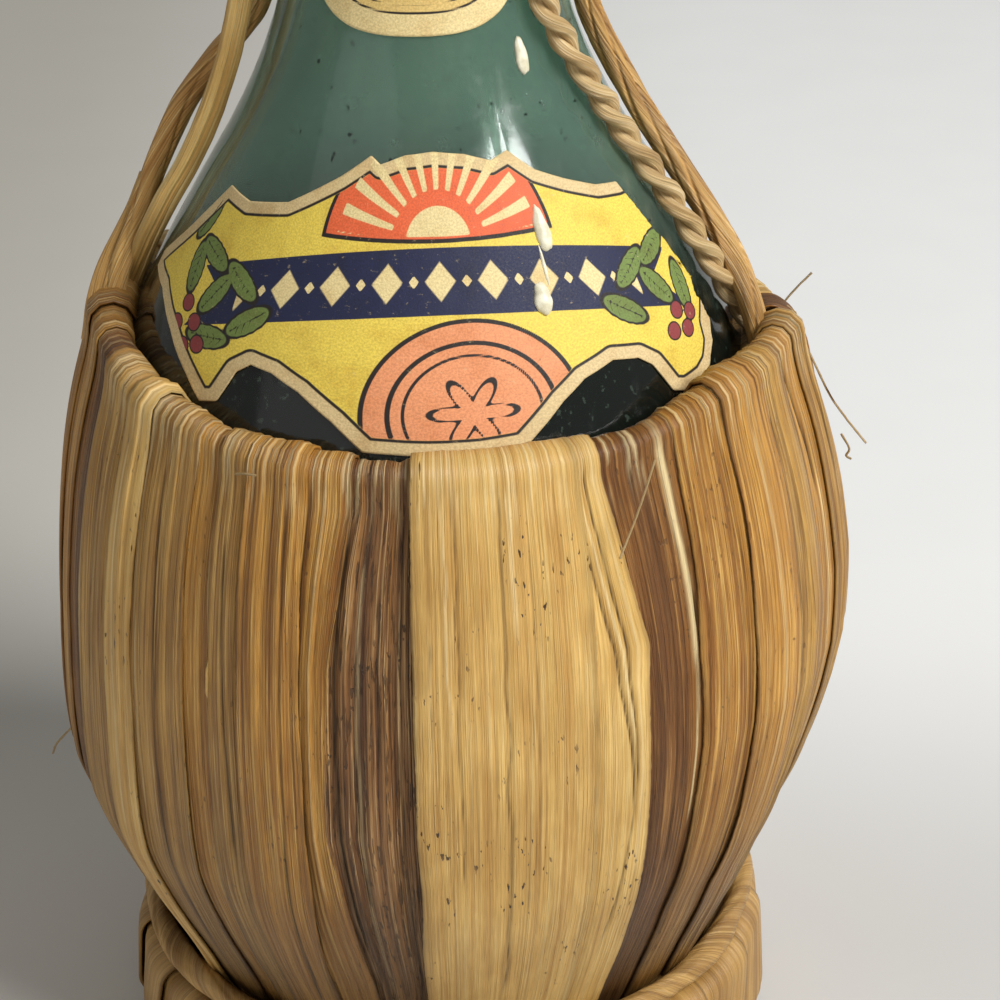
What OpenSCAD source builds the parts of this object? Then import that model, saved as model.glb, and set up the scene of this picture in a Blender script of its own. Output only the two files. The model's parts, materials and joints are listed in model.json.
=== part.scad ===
// Wine flask in a straw basket, with a wound straw foot, two pairs of straw
// stays, a bound neck and a cork. Millimetres, +Z up, the label faces -Y.
// The origin is the centre of the foot's underside.

/* [Bottle] */
// Widest radius of the glass
belly_r = 57.7; // [57.2:0.1:57.9]
// Height of the mouth above the ground
mouth_h = 290; // [284:1:300]
// Thickness of the glass wall
glass_wall = 3; // [2.4:0.1:3.4]
// Outer radius of the ringed lip
lip_r = 15.8; // [15:0.1:16.6]
// Height of the straight band of the lip
lip_h = 10; // [8:0.5:12]
// Radius of the bore that takes the cork
bore_r = 9.25; // [9:0.05:9.6]
// Length of the straight bore
bore_l = 30; // [28:1:34]

/* [Cork] */
// Length of the cork
cork_l = 38; // [34:1:42]
// How much of the cork stands out of the mouth
cork_proud = 12; // [8:1:14]
// Gap all round between the cork and the bore
cork_gap = 0.05; // [0.03:0.01:0.08]

/* [Straw strips] */
// Thickness of one straw strip
straw_t = 0.6; // [0.5:0.05:0.6]
// Gap between strips that lie over each other
straw_gap = 0.1; // [0.1:0.02:0.12]
// How far a strip reaches under its neighbour
straw_lap = 1.5; // [1:0.1:1.8]
// Number of strips round the back
back_strips = 21; // [21:4:25]
// Length of the end that is tucked in behind the rim
tuck_l = 7; // [5:0.5:7]

/* [Rim and foot] */
// Radius of the hoop that the strips fold over
hoop_r = 1.3; // [1.1:0.1:1.4]
// Radius of the twisted band in the groove above the foot
waist_r = 2.1; // [1.7:0.1:2.2]
// Turns of ribbon round the foot
foot_turns = 22; // [18:1:24]
// Thickness of the foot's ribbon
ribbon_t = 0.8; // [0.7:0.05:0.9]

/* [Stays and neck] */
// Width of the flat light strand at the left
flat_stay_d = 3.6; // [3:0.1:3.8]
// Diameter of the twisted strand at the left
left_stay_d = 3.6; // [3.2:0.1:3.7]
// Diameter of the two ply rope at the right
rope_d = 4; // [3.6:0.1:4.1]
// Diameter of the thick twisted strand at the right
right_stay_d = 3.9; // [3.5:0.1:4]
// Diameter of the cord wound round the neck
neck_cord_d = 2.8; // [2.4:0.1:3]
// Turns of cord round the neck
neck_turns = 6; // [4:1:6]

/* [Labels] */
// Thickness of the label paper
paper_t = 0.25; // [0.2:0.05:0.3]

/* [Hidden] */
round_fn = 96;
cord_sides = 8;
wound_sides = 6;
glass_gap = 0.5;

// Straw colours, light to dark
pale = [0.84, 0.70, 0.44];
gold = [0.76, 0.58, 0.31];
tan = [0.66, 0.49, 0.28];
brown = [0.50, 0.33, 0.17];
dark = [0.36, 0.22, 0.13];

// Front strips from left to right: width in mm at the belly, layer, colour
front_strips = [
    [12.2, 1, tan], [4.1, 2, pale], [10.9, 1, tan], [7.8, 0, gold], [5.5, 1, tan], [7.1, 2, gold],
    [7.4, 1, gold], [11.9, 0, dark], [22.6, 2, pale], [8.7, 1, pale], [11.1, 0, brown],
    [9.8, 1, gold], [7.3, 2, gold], [8.1, 1, tan], [10.2, 0, gold], [10.2, 1, tan]
];
// Angle of the left edge of the first front strip
first_edge = -64.6;

// Outer face of the glass from the bottom to the lip, as [radius, height]
glass_knots = [
    [0, 12], [14.5, 13.4], [29, 19.2], [40.3, 28.8], [48.9, 41.8], [54.9, 56.2], [belly_r, 72.5],
    [belly_r, 84], [56.2, 95], [52.7, 109], [45.9, 124.5], [40.7, 135.6], [33.9, 147.6], [26.8, 159.5],
    [21.2, 172.3], [18.2, 186.2], [16.6, 205], [15.2, 228], [14.3, 251],
    [13.9, mouth_h - lip_h - 6]
];

// Inner face of the lowest straw layer, from under the bottle up to the rim
straw_knots = [
    [12.4, 9.4], [23, 11.4], [34.6, 16], [41.8, 20.4], [44.4, 24.2], [48.2, 33.1], [53, 44.4],
    [57, 57.3], [58.3, 72.4], [58.3, 86.5], [57, 101], [54.9, 112.5]
];

// Centre of the rim hoop
rim_foot_z = 122.8;
straw_stack = 3 * straw_t + 2 * straw_gap;

// Corners of the foot ring's core: radius, height, rounding
foot_corners = [[39.8, 5.2, 3], [47.6, 5.8, 3.85], [48.5, 17.4, 2.1]];
ribbon_gap = 0.45;
ribbon_lap = 1.12;
ribbon_base = 0.15;
ribbon_crown = 0.25;
ribbon_rise = ribbon_lap * (ribbon_t + ribbon_gap + 0.1);

// Routes of the four stays as [angle round from the front, gap to the glass, height, scale]
flat_stay_route = [
    [-99, 0.6, 123.4, 0.9], [-98, 1, 128, 1], [-95.5, 1.4, 134, 1], [-92.5, 1.9, 139.5, 1],
    [-90, 2.2, 145, 1],
    [-89, 2.3, 151, 1], [-88, 2.7, 158, 1], [-87, 3.5, 165, 1], [-86, 4.3, 173, 1], [-85, 4.2, 183, 1],
    [-84, 3, 200, 1], [-82, 1.2, 224, 0.96], [-81, 0.4, 243, 0.94], [-81, 0.4, 272, 0.94]
];
left_stay_route = [
    [-88, 2.6, 123.6, 0.9], [-89.5, 4.2, 128, 1], [-93.5, 5.3, 134, 1], [-97, 5.5, 139.5, 1],
    [-98.5, 6.1, 145, 1],
    [-99.5, 6.5, 151, 1], [-100, 6.4, 158, 1], [-99.5, 4.6, 165, 1], [-98, 1.5, 172.5, 1],
    [-99, 0.9, 183, 1], [-101, 0.6, 203, 1], [-100, 0.5, 226, 0.97], [-99, 0.4, 243, 0.94],
    [-99, 0.4, 272, 0.94]
];
rope_route = [
    [86, 0.5, 123.8, 1], [84, 0.5, 128, 1], [80.5, 0.5, 134, 1], [78, 0.5, 141, 1], [75, 0.5, 149, 1],
    [71, 0.5, 157, 1], [65, 0.5, 165, 1], [56.5, 0.5, 173, 1], [49, 0.5, 182, 1], [54, 0.5, 199, 1],
    [70, 0.5, 218, 0.95], [79, 0.4, 235, 0.88], [81, 0.4, 247, 0.85], [81, 0.4, 272, 0.85]
];
right_stay_route = [
    [79, 2.6, 123.6, 0.85], [79.5, 3.9, 128, 0.92], [82, 4.3, 134, 1], [86, 3.8, 140, 1], [89, 3, 146, 1],
    [91.5, 2.6, 152, 1], [93.5, 2.1, 158, 1], [95, 1.7, 165, 1], [96, 1, 173, 0.95],
    [97, 0.6, 183, 0.9], [98, 0.5, 201, 0.88], [99, 0.4, 220, 0.87], [99, 0.4, 272, 0.87]
];
stay_scale_top = 3.4;

// The neck cord's first turn
neck_wind_z = 249;
neck_wind_step = neck_cord_d + 0.55;
neck_lobe = stay_scale_top + 0.4;

// Front label's top and bottom edges as [angle round from the front, height]; its right end is worn off
label_top = [
    [-80, 139], [-70, 145.2], [-60, 152.4], [-50, 151.8], [-37, 153.2], [-23, 157.4], [-15, 160.2],
    [-12, 159.2], [-5, 160.4], [3, 160.8], [12, 160.3], [19.5, 159.2], [25, 160.1], [32, 157.2],
    [40, 155.3], [50, 153.2], [58, 152.4], [62, 147], [66, 142], [68, 138]
];
label_bottom = [
    [-80, 137], [-70, 136.2], [-60, 133], [-50, 129], [-45, 126.8], [-41, 127.6], [-38, 132], [-35, 133.4],
    [-30, 133], [-24, 131.4], [-17, 128.4], [-11, 125], [0, 124.7], [9, 124.7], [17, 125], [25, 129.6],
    [30, 131.7], [37, 132.9], [43, 132], [46, 130.4], [49, 126.2], [52, 125.4], [58, 125.4],
    [62, 126.3], [66, 128.6], [68, 131]
];
label_step = 2;

// Height of the neck label's centre, and its half height and half angle
neck_label_z = 190;
neck_label_h = 15;
neck_label_half = 47;

strip_count = len(front_strips) + back_strips;
function strip_name(i) = str("straw_strip_", i < 9 ? "0" : "", i + 1);

// Smooth curve through knots, with steps points on each stretch
function curve_point(a, b, c, d, t) =
    b + 0.5 * t * ((c - a) + t * ((2 * a - 5 * b + 4 * c - d) + t * (3 * b - a - 3 * c + d)));
function curve(k, steps) = [
    for (i = [0 : len(k) - 2], s = [0 : steps - 1])
        curve_point(k[max(i - 1, 0)], k[i], k[i + 1], k[min(i + 2, len(k) - 1)], s / steps),
    k[len(k) - 1]
];
function reversed(p) = [for (i = [len(p) - 1 : -1 : 0]) p[i]];
function unit(v) = v / norm(v);

// Each point of a path moved square to the path, to its right hand side
function path_dir(p, i) = unit(p[min(i + 1, len(p) - 1)] - p[max(i - 1, 0)]);
function moved_path(p, d) = [
    for (i = [0 : len(p) - 1]) let (t = path_dir(p, i)) p[i] + d * [t[1], -t[0]]
];

glass_outer = curve(glass_knots, 3);
function lookup_r(p, z) = lookup(z, [for (q = p) [q[1], q[0]]]);
function glass_r(z) = lookup_r([for (q = glass_outer) if (q[1] > 80) q], z);

// Slope of the glass at the rim, and the hoop's centre square to it
rim_dir = unit([glass_r(rim_foot_z + 3) - glass_r(rim_foot_z - 3), 6]);
rim_out = [rim_dir[1], -rim_dir[0]];
hoop_off = glass_gap + straw_stack + 0.1 + hoop_r;
hoop_c = [glass_r(rim_foot_z), rim_foot_z] + hoop_off * rim_out;
hoop_end = 180 + atan2(rim_out[1], rim_out[0]);

// A strip's path: under the bottle, up the side, over the hoop and down behind it
fold_r = hoop_r + 0.1;
straw_path = concat(
    curve(concat(straw_knots, [hoop_c + fold_r * [cos(-8), sin(-8)]]), 3),
    [for (a = [12 : 24 : hoop_end - 10]) hoop_c + fold_r * [cos(a), sin(a)]],
    [for (s = [0, 0.5, 1]) hoop_c - fold_r * rim_out - s * tuck_l * rim_dir]
);
function strip_section(layer) = let (d = layer * (straw_t + straw_gap)) concat(
    moved_path(straw_path, d), reversed(moved_path(straw_path, d + straw_t))
);

// Strip angles: the front ones from their widths, the back ones share the rest
mm_to_deg = 180 / (PI * (straw_knots[8][0] + straw_stack));
function front_edge(i) = i == 0 ? first_edge : front_edge(i - 1) + front_strips[i - 1][0] * mm_to_deg;
back_from = front_edge(len(front_strips));
function back_share(k) = k <= 0 ? 0 : back_share(k - 1) + 1 + 0.25 * sin(137.5 * k);
function strip_edge(i) = i <= len(front_strips) ? front_edge(i)
    : back_from + (360 + first_edge - back_from)
        * back_share(i - len(front_strips)) / back_share(back_strips);
function strip_layer(i) = i < len(front_strips) ? front_strips[i][1]
    : [0, 1, 2, 1][(i - len(front_strips)) % 4];
function strip_colour(i) = i < len(front_strips) ? front_strips[i][2]
    : [gold, tan, pale, brown, gold, pale, tan][(i * 3) % 7];

// Closed skin over rings of points that all have the same number of points
module skin(rings) {
    n = len(rings);
    m = len(rings[0]);
    polyhedron(
        points = [for (r = rings) each r],
        faces = [
            for (i = [0 : n - 2], j = [0 : m - 1]) let (a = i * m + j, b = i * m + (j + 1) % m)
                each [[a, b, b + m], [a, b + m, a + m]],
            for (j = [0 : m / 2 - 2]) each [[j, m - 1 - j, m - 2 - j], [j, m - 2 - j, j + 1]],
            for (j = [0 : m / 2 - 2]) let (o = (n - 1) * m)
                each [[o + j, o + m - 2 - j, o + m - 1 - j], [o + j, o + j + 1, o + m - 2 - j]]
        ],
        convexity = 10
    );
}

// Point at an angle round from the front
function round_point(a, r, z) = [r * sin(a), -r * cos(a), z];

// Round tube along points, each with its own radius; the rings keep one side outwards
function tube_rings(p, radii, sides) = [
    for (i = [0 : len(p) - 1]) let (
        t = path_dir(p, i),
        u = unit(cross(t, cross([p[i][0], p[i][1], 0.01], t))),
        v = cross(t, u)
    ) [for (j = [0 : sides - 1]) let (a = -360 * j / sides) p[i] + radii[i] * (cos(a) * u + sin(a) * v)]
];

module glass_profile() {
    lip_z = mouth_h - lip_h;
    inner = reversed([for (q = moved_path(glass_outer, -glass_wall))
        if (q[1] < mouth_h - bore_l - 8 && q[0] > 0.5) [max(q[0], bore_r), q[1]]]);
    polygon(concat(
        [for (q = glass_outer) if (q[0] >= 0) q],
        [[13.9, lip_z - 3.5], [14.5, lip_z - 2], [lip_r - 0.8, lip_z - 0.9], [lip_r, lip_z]],
        [[lip_r, mouth_h - 2.4]],
        [for (a = [20 : 20 : 80]) [lip_r - 2, mouth_h - 2.4] + [2 * cos(a), 2 * sin(a) + 0.4]],
        [for (a = [90 : 22.5 : 157.5]) [bore_r + 1.6, mouth_h - 1.6] + 1.6 * [cos(a), sin(a)]],
        [[bore_r, mouth_h - 1.6], [bore_r, mouth_h - bore_l]],
        inner,
        [[0, glass_knots[0][1] + glass_wall]]
    ));
}

module bottle_glass() {
    color([0.16, 0.33, 0.27, 0.6]) rotate_extrude($fn = round_fn) glass_profile();
}

module cork() {
    r = bore_r - cork_gap;
    z0 = mouth_h + cork_proud - cork_l;
    color([0.72, 0.55, 0.36]) rotate_extrude($fn = round_fn) polygon([
        [0, z0], [r - 0.8, z0], [r, z0 + 0.8], [r, z0 + cork_l - 1.2],
        [r - 1.2, z0 + cork_l], [0, z0 + cork_l]
    ]);
}

// Paper lying on the glass between two heights at each angle
module paper(angles, lows, highs, rows) {
    function at(i, k, d) = let (z = lows[i] + (highs[i] - lows[i]) * k / rows)
        round_point(angles[i], glass_r(z) + 0.1 + d, z);
    skin([for (i = [0 : len(angles) - 1]) [
        for (k = [0 : rows]) at(i, k, paper_t),
        for (k = [rows : -1 : 0]) at(i, k, 0)
    ]]);
}

module front_label() {
    angles = [for (a = [label_top[0][0] : label_step : label_top[len(label_top) - 1][0]]) a];
    color([0.90, 0.80, 0.36]) paper(
        angles, [for (a = angles) lookup(a, label_bottom)], [for (a = angles) lookup(a, label_top)], 5
    );
}

module neck_label() {
    shares = [for (a = [-84 : 12 : 84]) sin(a)];
    color([0.82, 0.66, 0.38]) paper(
        [for (x = shares) -2 + x * neck_label_half],
        [for (x = shares) neck_label_z - neck_label_h * pow(1 - pow(abs(x), 3), 1 / 3)],
        [for (x = shares) neck_label_z + neck_label_h * pow(1 - pow(abs(x), 3), 1 / 3)], 4
    );
}

module straw_strip(i) {
    lap = straw_lap * mm_to_deg;
    from = strip_edge(i) - lap;
    to = strip_edge(i + 1) + lap;
    color(strip_colour(i)) rotate([0, 0, from - 90])
        rotate_extrude(angle = to - from, $fn = round_fn) polygon(strip_section(strip_layer(i)));
}

module rim_hoop() {
    color(tan) rotate_extrude($fn = round_fn) translate(hoop_c) circle(r = hoop_r, $fn = 32);
}

// Twisted straw band that fills the groove between the basket and the foot
module waist_band() {
    color(gold) rotate_extrude($fn = round_fn) translate([49.1, 24.4]) circle(r = waist_r, $fn = 32);
}

// Outline of the foot ring at a distance d outside its core, with its outward directions
function corner_turn(i) = let (
    a = foot_corners[i], b = foot_corners[(i + 1) % 3],
    e = [b[0] - a[0], b[1] - a[1]]
) atan2(e[1], e[0]) - acos((a[2] - b[2]) / norm(e));
function corner_arc(i, d, steps) = let (
    c = foot_corners[i],
    from = corner_turn((i + 2) % 3), to = corner_turn(i),
    sweep = (to - from + 720) % 360
) [for (s = [0 : steps]) let (a = from + sweep * s / steps)
    [[c[0], c[1]] + (c[2] + d) * [cos(a), sin(a)], [cos(a), sin(a)]]];
function foot_outline(d, steps) = [for (i = [0 : 2]) each corner_arc(i, d, steps)];
function middle(a, b, t) = a + t * (b - a);

module foot_core() {
    color(tan) rotate_extrude($fn = round_fn) polygon([for (q = foot_outline(0, 8)) q[0]]);
}

// Stations of the foot ribbon round the outline, with points along the straight sides
foot_stations = let (o = foot_outline(0, 4), n = len(o)) [
    for (i = [0 : n - 1]) each i % 5 < 4 ? [o[i]]
        : [for (t = [0, 0.5]) [middle(o[i][0], o[(i + 1) % n][0], t), o[i][1]]]
];
ribbon_angle = 360 / foot_turns;
ribbon_half = ribbon_lap * ribbon_angle / 2;
function ribbon_height(x) = ribbon_base + ribbon_rise * (x + 1) / 2 + ribbon_crown * (1 - x * x);
function ribbon_point(k, x, d) = let (
    n = len(foot_stations), s = foot_stations[k % n],
    q = s[0] + (ribbon_height(x) + d) * s[1]
) round_point(k * ribbon_angle / n + x * ribbon_half, q[0], max(q[1], 0));
foot_rings = [
    for (k = [1 : foot_turns * len(foot_stations)]) [
        for (x = [-1, 0, 1]) ribbon_point(k, x, 0),
        for (x = [1, 0, -1]) ribbon_point(k, x, ribbon_t)
    ]
];
// Least gap between one turn and the next, on points over the lapped edges
function foot_gap() = let (n = len(foot_stations)) min([
    for (k = [0 : n - 1], x = [0.5 : 0.1 : 1], y = [-1 : 0.1 : -0.5])
        norm(ribbon_point(k, x, 0) - ribbon_point(k + n, y, ribbon_t))
]);

module foot_wrap() {
    echo(foot_ribbon_least_gap_mm = foot_gap());
    color(gold) skin(foot_rings);
}

// Where the strips' ends are gathered and tied under the bottle
module base_gather() {
    color(tan) rotate_extrude($fn = round_fn) polygon([
        [0, 4], [11, 4.2], [14.5, 5], [15.5, 5.9], [14.8, 6.7], [12.2, 6.9], [11.8, 8], [11, 9.6], [0, 10.4]
    ]);
}

// A stay runs from the rim fold up the glass and ends above the neck winding
module stay(route, d) {
    r = curve(route, 2);
    pts = [for (q = r) round_point(q[0], glass_r(q[2]) + q[1] + q[3] * d / 2, q[2])];
    skin(tube_rings(pts, [for (q = r) q[3] * d / 2], cord_sides));
}
module stay_left_flat() {
    color(pale) stay(flat_stay_route, flat_stay_d);
}
module stay_left_twisted() {
    color(brown) stay(left_stay_route, left_stay_d);
}
module stay_right_rope() {
    color(pale) stay(rope_route, rope_d);
}
module stay_right_twisted() {
    color(tan) stay(right_stay_route, right_stay_d);
}

// The neck cord goes round the glass and out over the stays at both sides
function lobe(a) = let (x = abs((a + 540) % 180 - 90))
    x < 17 ? 1 : x > 58 ? 0 : 0.5 + 0.5 * cos(180 * (x - 17) / 41);
function wind_point(t) = let (
    a = 180 + 360 * t,
    z = neck_wind_z + neck_wind_step * t
) round_point(a, glass_r(z) + 0.4 + neck_cord_d / 2 + neck_lobe * lobe(a), z);
wind_points = [for (k = [0 : 24 * neck_turns]) wind_point(k / 24)];
function wind_gap() = min([
    for (k = [0 : 24], j = [k + 18 : k + 30]) norm(wind_point(k / 24) - wind_point(j / 24))
]) - neck_cord_d;

module neck_winding() {
    echo(neck_cord_least_gap_mm = wind_gap());
    color(tan) skin(tube_rings(wind_points, [for (p = wind_points) neck_cord_d / 2], wound_sides));
}

// Brimful volume of the glass in millilitres, from its inner face
inner_face = [for (q = moved_path(glass_outer, -glass_wall)) if (q[0] > 0) q];
function cone_ml(a, b) = PI / 3 * (b[1] - a[1]) * (a[0] * a[0] + a[0] * b[0] + b[0] * b[0]) / 1000;
function sum(v, i = 0) = i >= len(v) ? 0 : v[i] + sum(v, i + 1);
echo(brimful_ml = sum([for (i = [0 : len(inner_face) - 2]) cone_ml(inner_face[i], inner_face[i + 1])]));

bottle_glass();
cork();
front_label();
neck_label();
rim_hoop();
waist_band();
foot_core();
foot_wrap();
base_gather();
stay_left_flat();
stay_left_twisted();
stay_right_rope();
stay_right_twisted();
neck_winding();
for (i = [0 : strip_count - 1]) straw_strip(i);
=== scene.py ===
# A wine flask in a straw basket: glass, cork, labels, straw strips, stays and a wound foot
import bpy
import json
import math
from mathutils import Matrix, Vector, kdtree, noise


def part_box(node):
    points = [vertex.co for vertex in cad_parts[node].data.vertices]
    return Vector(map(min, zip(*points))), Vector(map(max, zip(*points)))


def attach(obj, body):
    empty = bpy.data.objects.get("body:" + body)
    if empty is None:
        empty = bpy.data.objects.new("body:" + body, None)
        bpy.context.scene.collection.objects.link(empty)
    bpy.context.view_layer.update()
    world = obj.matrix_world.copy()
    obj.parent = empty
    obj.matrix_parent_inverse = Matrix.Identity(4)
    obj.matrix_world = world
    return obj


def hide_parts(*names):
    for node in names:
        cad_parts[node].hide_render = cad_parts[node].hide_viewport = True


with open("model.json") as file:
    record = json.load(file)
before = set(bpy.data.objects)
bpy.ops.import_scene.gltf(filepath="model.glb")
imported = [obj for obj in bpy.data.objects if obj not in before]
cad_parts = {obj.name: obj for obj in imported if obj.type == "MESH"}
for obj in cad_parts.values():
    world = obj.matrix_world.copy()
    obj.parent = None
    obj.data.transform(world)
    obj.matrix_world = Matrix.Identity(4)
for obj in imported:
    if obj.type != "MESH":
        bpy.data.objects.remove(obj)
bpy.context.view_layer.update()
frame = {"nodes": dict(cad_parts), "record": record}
mm = 0.001
slotOf = {row["node"]: row["material_slot"] for row in frame["record"]["subparts"]}
print("frame loaded:", len(frame["nodes"]), "nodes")


# Camera, where the photograph was taken from
shot = {
    "lens": 90.77,
    "target": (9.7, 0, 93.34),
    "distance": 395,
    "elevation": 28.02,
    "roll": -0.94,
}


def addCamera():
    rise = math.radians(shot["elevation"])
    roll = math.radians(shot["roll"])
    back = Vector((0, -math.cos(rise), math.sin(rise)))
    side = Vector((1, 0, 0))
    over = Vector((0, math.sin(rise), math.cos(rise)))
    right = math.cos(roll) * side + math.sin(roll) * over
    top = math.cos(roll) * over - math.sin(roll) * side
    place = (Vector(shot["target"]) + shot["distance"] * back) * mm
    data = bpy.data.cameras.new("camera")
    data.lens = shot["lens"]
    data.sensor_width = 36
    data.clip_start = 0.01
    camera = bpy.data.objects.new("camera", data)
    bpy.context.scene.collection.objects.link(camera)
    camera.matrix_world = Matrix.Translation(place) @ Matrix((right, top, back)).transposed().to_4x4()
    bpy.context.scene.camera = camera


addCamera()
bpy.context.scene.view_settings.view_transform = "Standard"
print("camera set")


# Tools for shader nodes
def seen(red, green, blue):  # a colour as the eye sees it, 0 to 255
    return tuple(((c / 255 + 0.055) / 1.055) ** 2.4 for c in (red, green, blue)) + (1.0,)


def plug(tree, value, socket):
    if isinstance(value, bpy.types.NodeSocket):
        tree.links.new(value, socket)
    else:
        socket.default_value = value


def addNode(tree, kind, inputs=None, **settings):
    node = tree.nodes.new(kind)
    for name, value in settings.items():
        setattr(node, name, value)
    for name, value in (inputs or {}).items():
        plug(tree, value, node.inputs[name])
    return node


def sums(tree, way, *values):
    node = tree.nodes.new("ShaderNodeMath")
    node.operation = way
    for value, socket in zip(values, node.inputs):
        plug(tree, value, socket)
    return node.outputs[0]


def tint(tree, share, low, high, way="MIX"):
    node = addNode(tree, "ShaderNodeMix", data_type="RGBA", blend_type=way)
    for value, socket in zip((share, low, high), (node.inputs[0], node.inputs[6], node.inputs[7])):
        plug(tree, value, socket)
    return node.outputs[2]


def fade(tree, value, low, high, start=0.0, end=1.0):
    node = addNode(tree, "ShaderNodeMapRange", interpolation_type="SMOOTHSTEP")
    for given, socket in zip((value, low, high, start, end), node.inputs):
        plug(tree, given, socket)
    return node.outputs[0]


def speckle(tree, spot, scale, detail=2.0, rough=0.5, shift=(0, 0, 0)):
    placed = addNode(tree, "ShaderNodeMapping", {"Vector": spot, "Scale": scale, "Location": shift})
    grain = addNode(tree, "ShaderNodeTexNoise", {"Vector": placed.outputs[0], "Scale": 1.0,
                                                 "Detail": detail, "Roughness": rough})
    return grain.outputs["Fac"]


def timesColor(tree, one, other):
    return tint(tree, 1.0, one, other, "MULTIPLY")


def bellMask(tree, value, centre, half):  # 1 where the value is at the centre, 0 half away from it
    away = sums(tree, "ABSOLUTE", sums(tree, "SUBTRACT", value, centre))
    return fade(tree, away, half, half * 0.2)


def mark(tree, name):  # a number that the mesh carries at each point
    return addNode(tree, "ShaderNodeAttribute", attribute_name=name).outputs["Fac"]


def newGroup(name, inputs, outputs):
    tree = bpy.data.node_groups.new(name, "ShaderNodeTree")
    for label, start in inputs.items():
        kind = "NodeSocketColor" if isinstance(start, tuple) else "NodeSocketFloat"
        tree.interface.new_socket(label, in_out="INPUT", socket_type=kind).default_value = start
    for label, kind in outputs.items():
        tree.interface.new_socket(label, in_out="OUTPUT", socket_type=kind)
    return tree, tree.nodes.new("NodeGroupInput").outputs, tree.nodes.new("NodeGroupOutput").inputs


def newMaterial(name):
    made = bpy.data.materials.new(name)
    made.use_nodes = True
    tree = made.node_tree
    return made, tree, tree.nodes["Principled BSDF"]


def useGroup(tree, group, **inputs):
    node = tree.nodes.new("ShaderNodeGroup")
    node.node_tree = group
    for name, value in inputs.items():
        plug(tree, value, node.inputs[name])
    return node.outputs


def addBump(tree, shader, height, strength, depth):
    bump = addNode(tree, "ShaderNodeBump", {"Height": height, "Strength": strength, "Distance": depth * mm})
    tree.links.new(bump.outputs[0], shader.inputs["Normal"])


# Straw: bands, fibres, grooves and hairs run along the leaf, on a UV map in real millimetres
# painted shade: a dark brown laid over strip edges, creases, the rim fold and the lower basket
strawPaintedShade = (0.05, 0.024, 0.006, 1)
strawPit = (0.06, 0.03, 0.014, 1)
strawPaintedHighlight = seen(246, 222, 166)
strawRelief = 0.5


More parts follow.
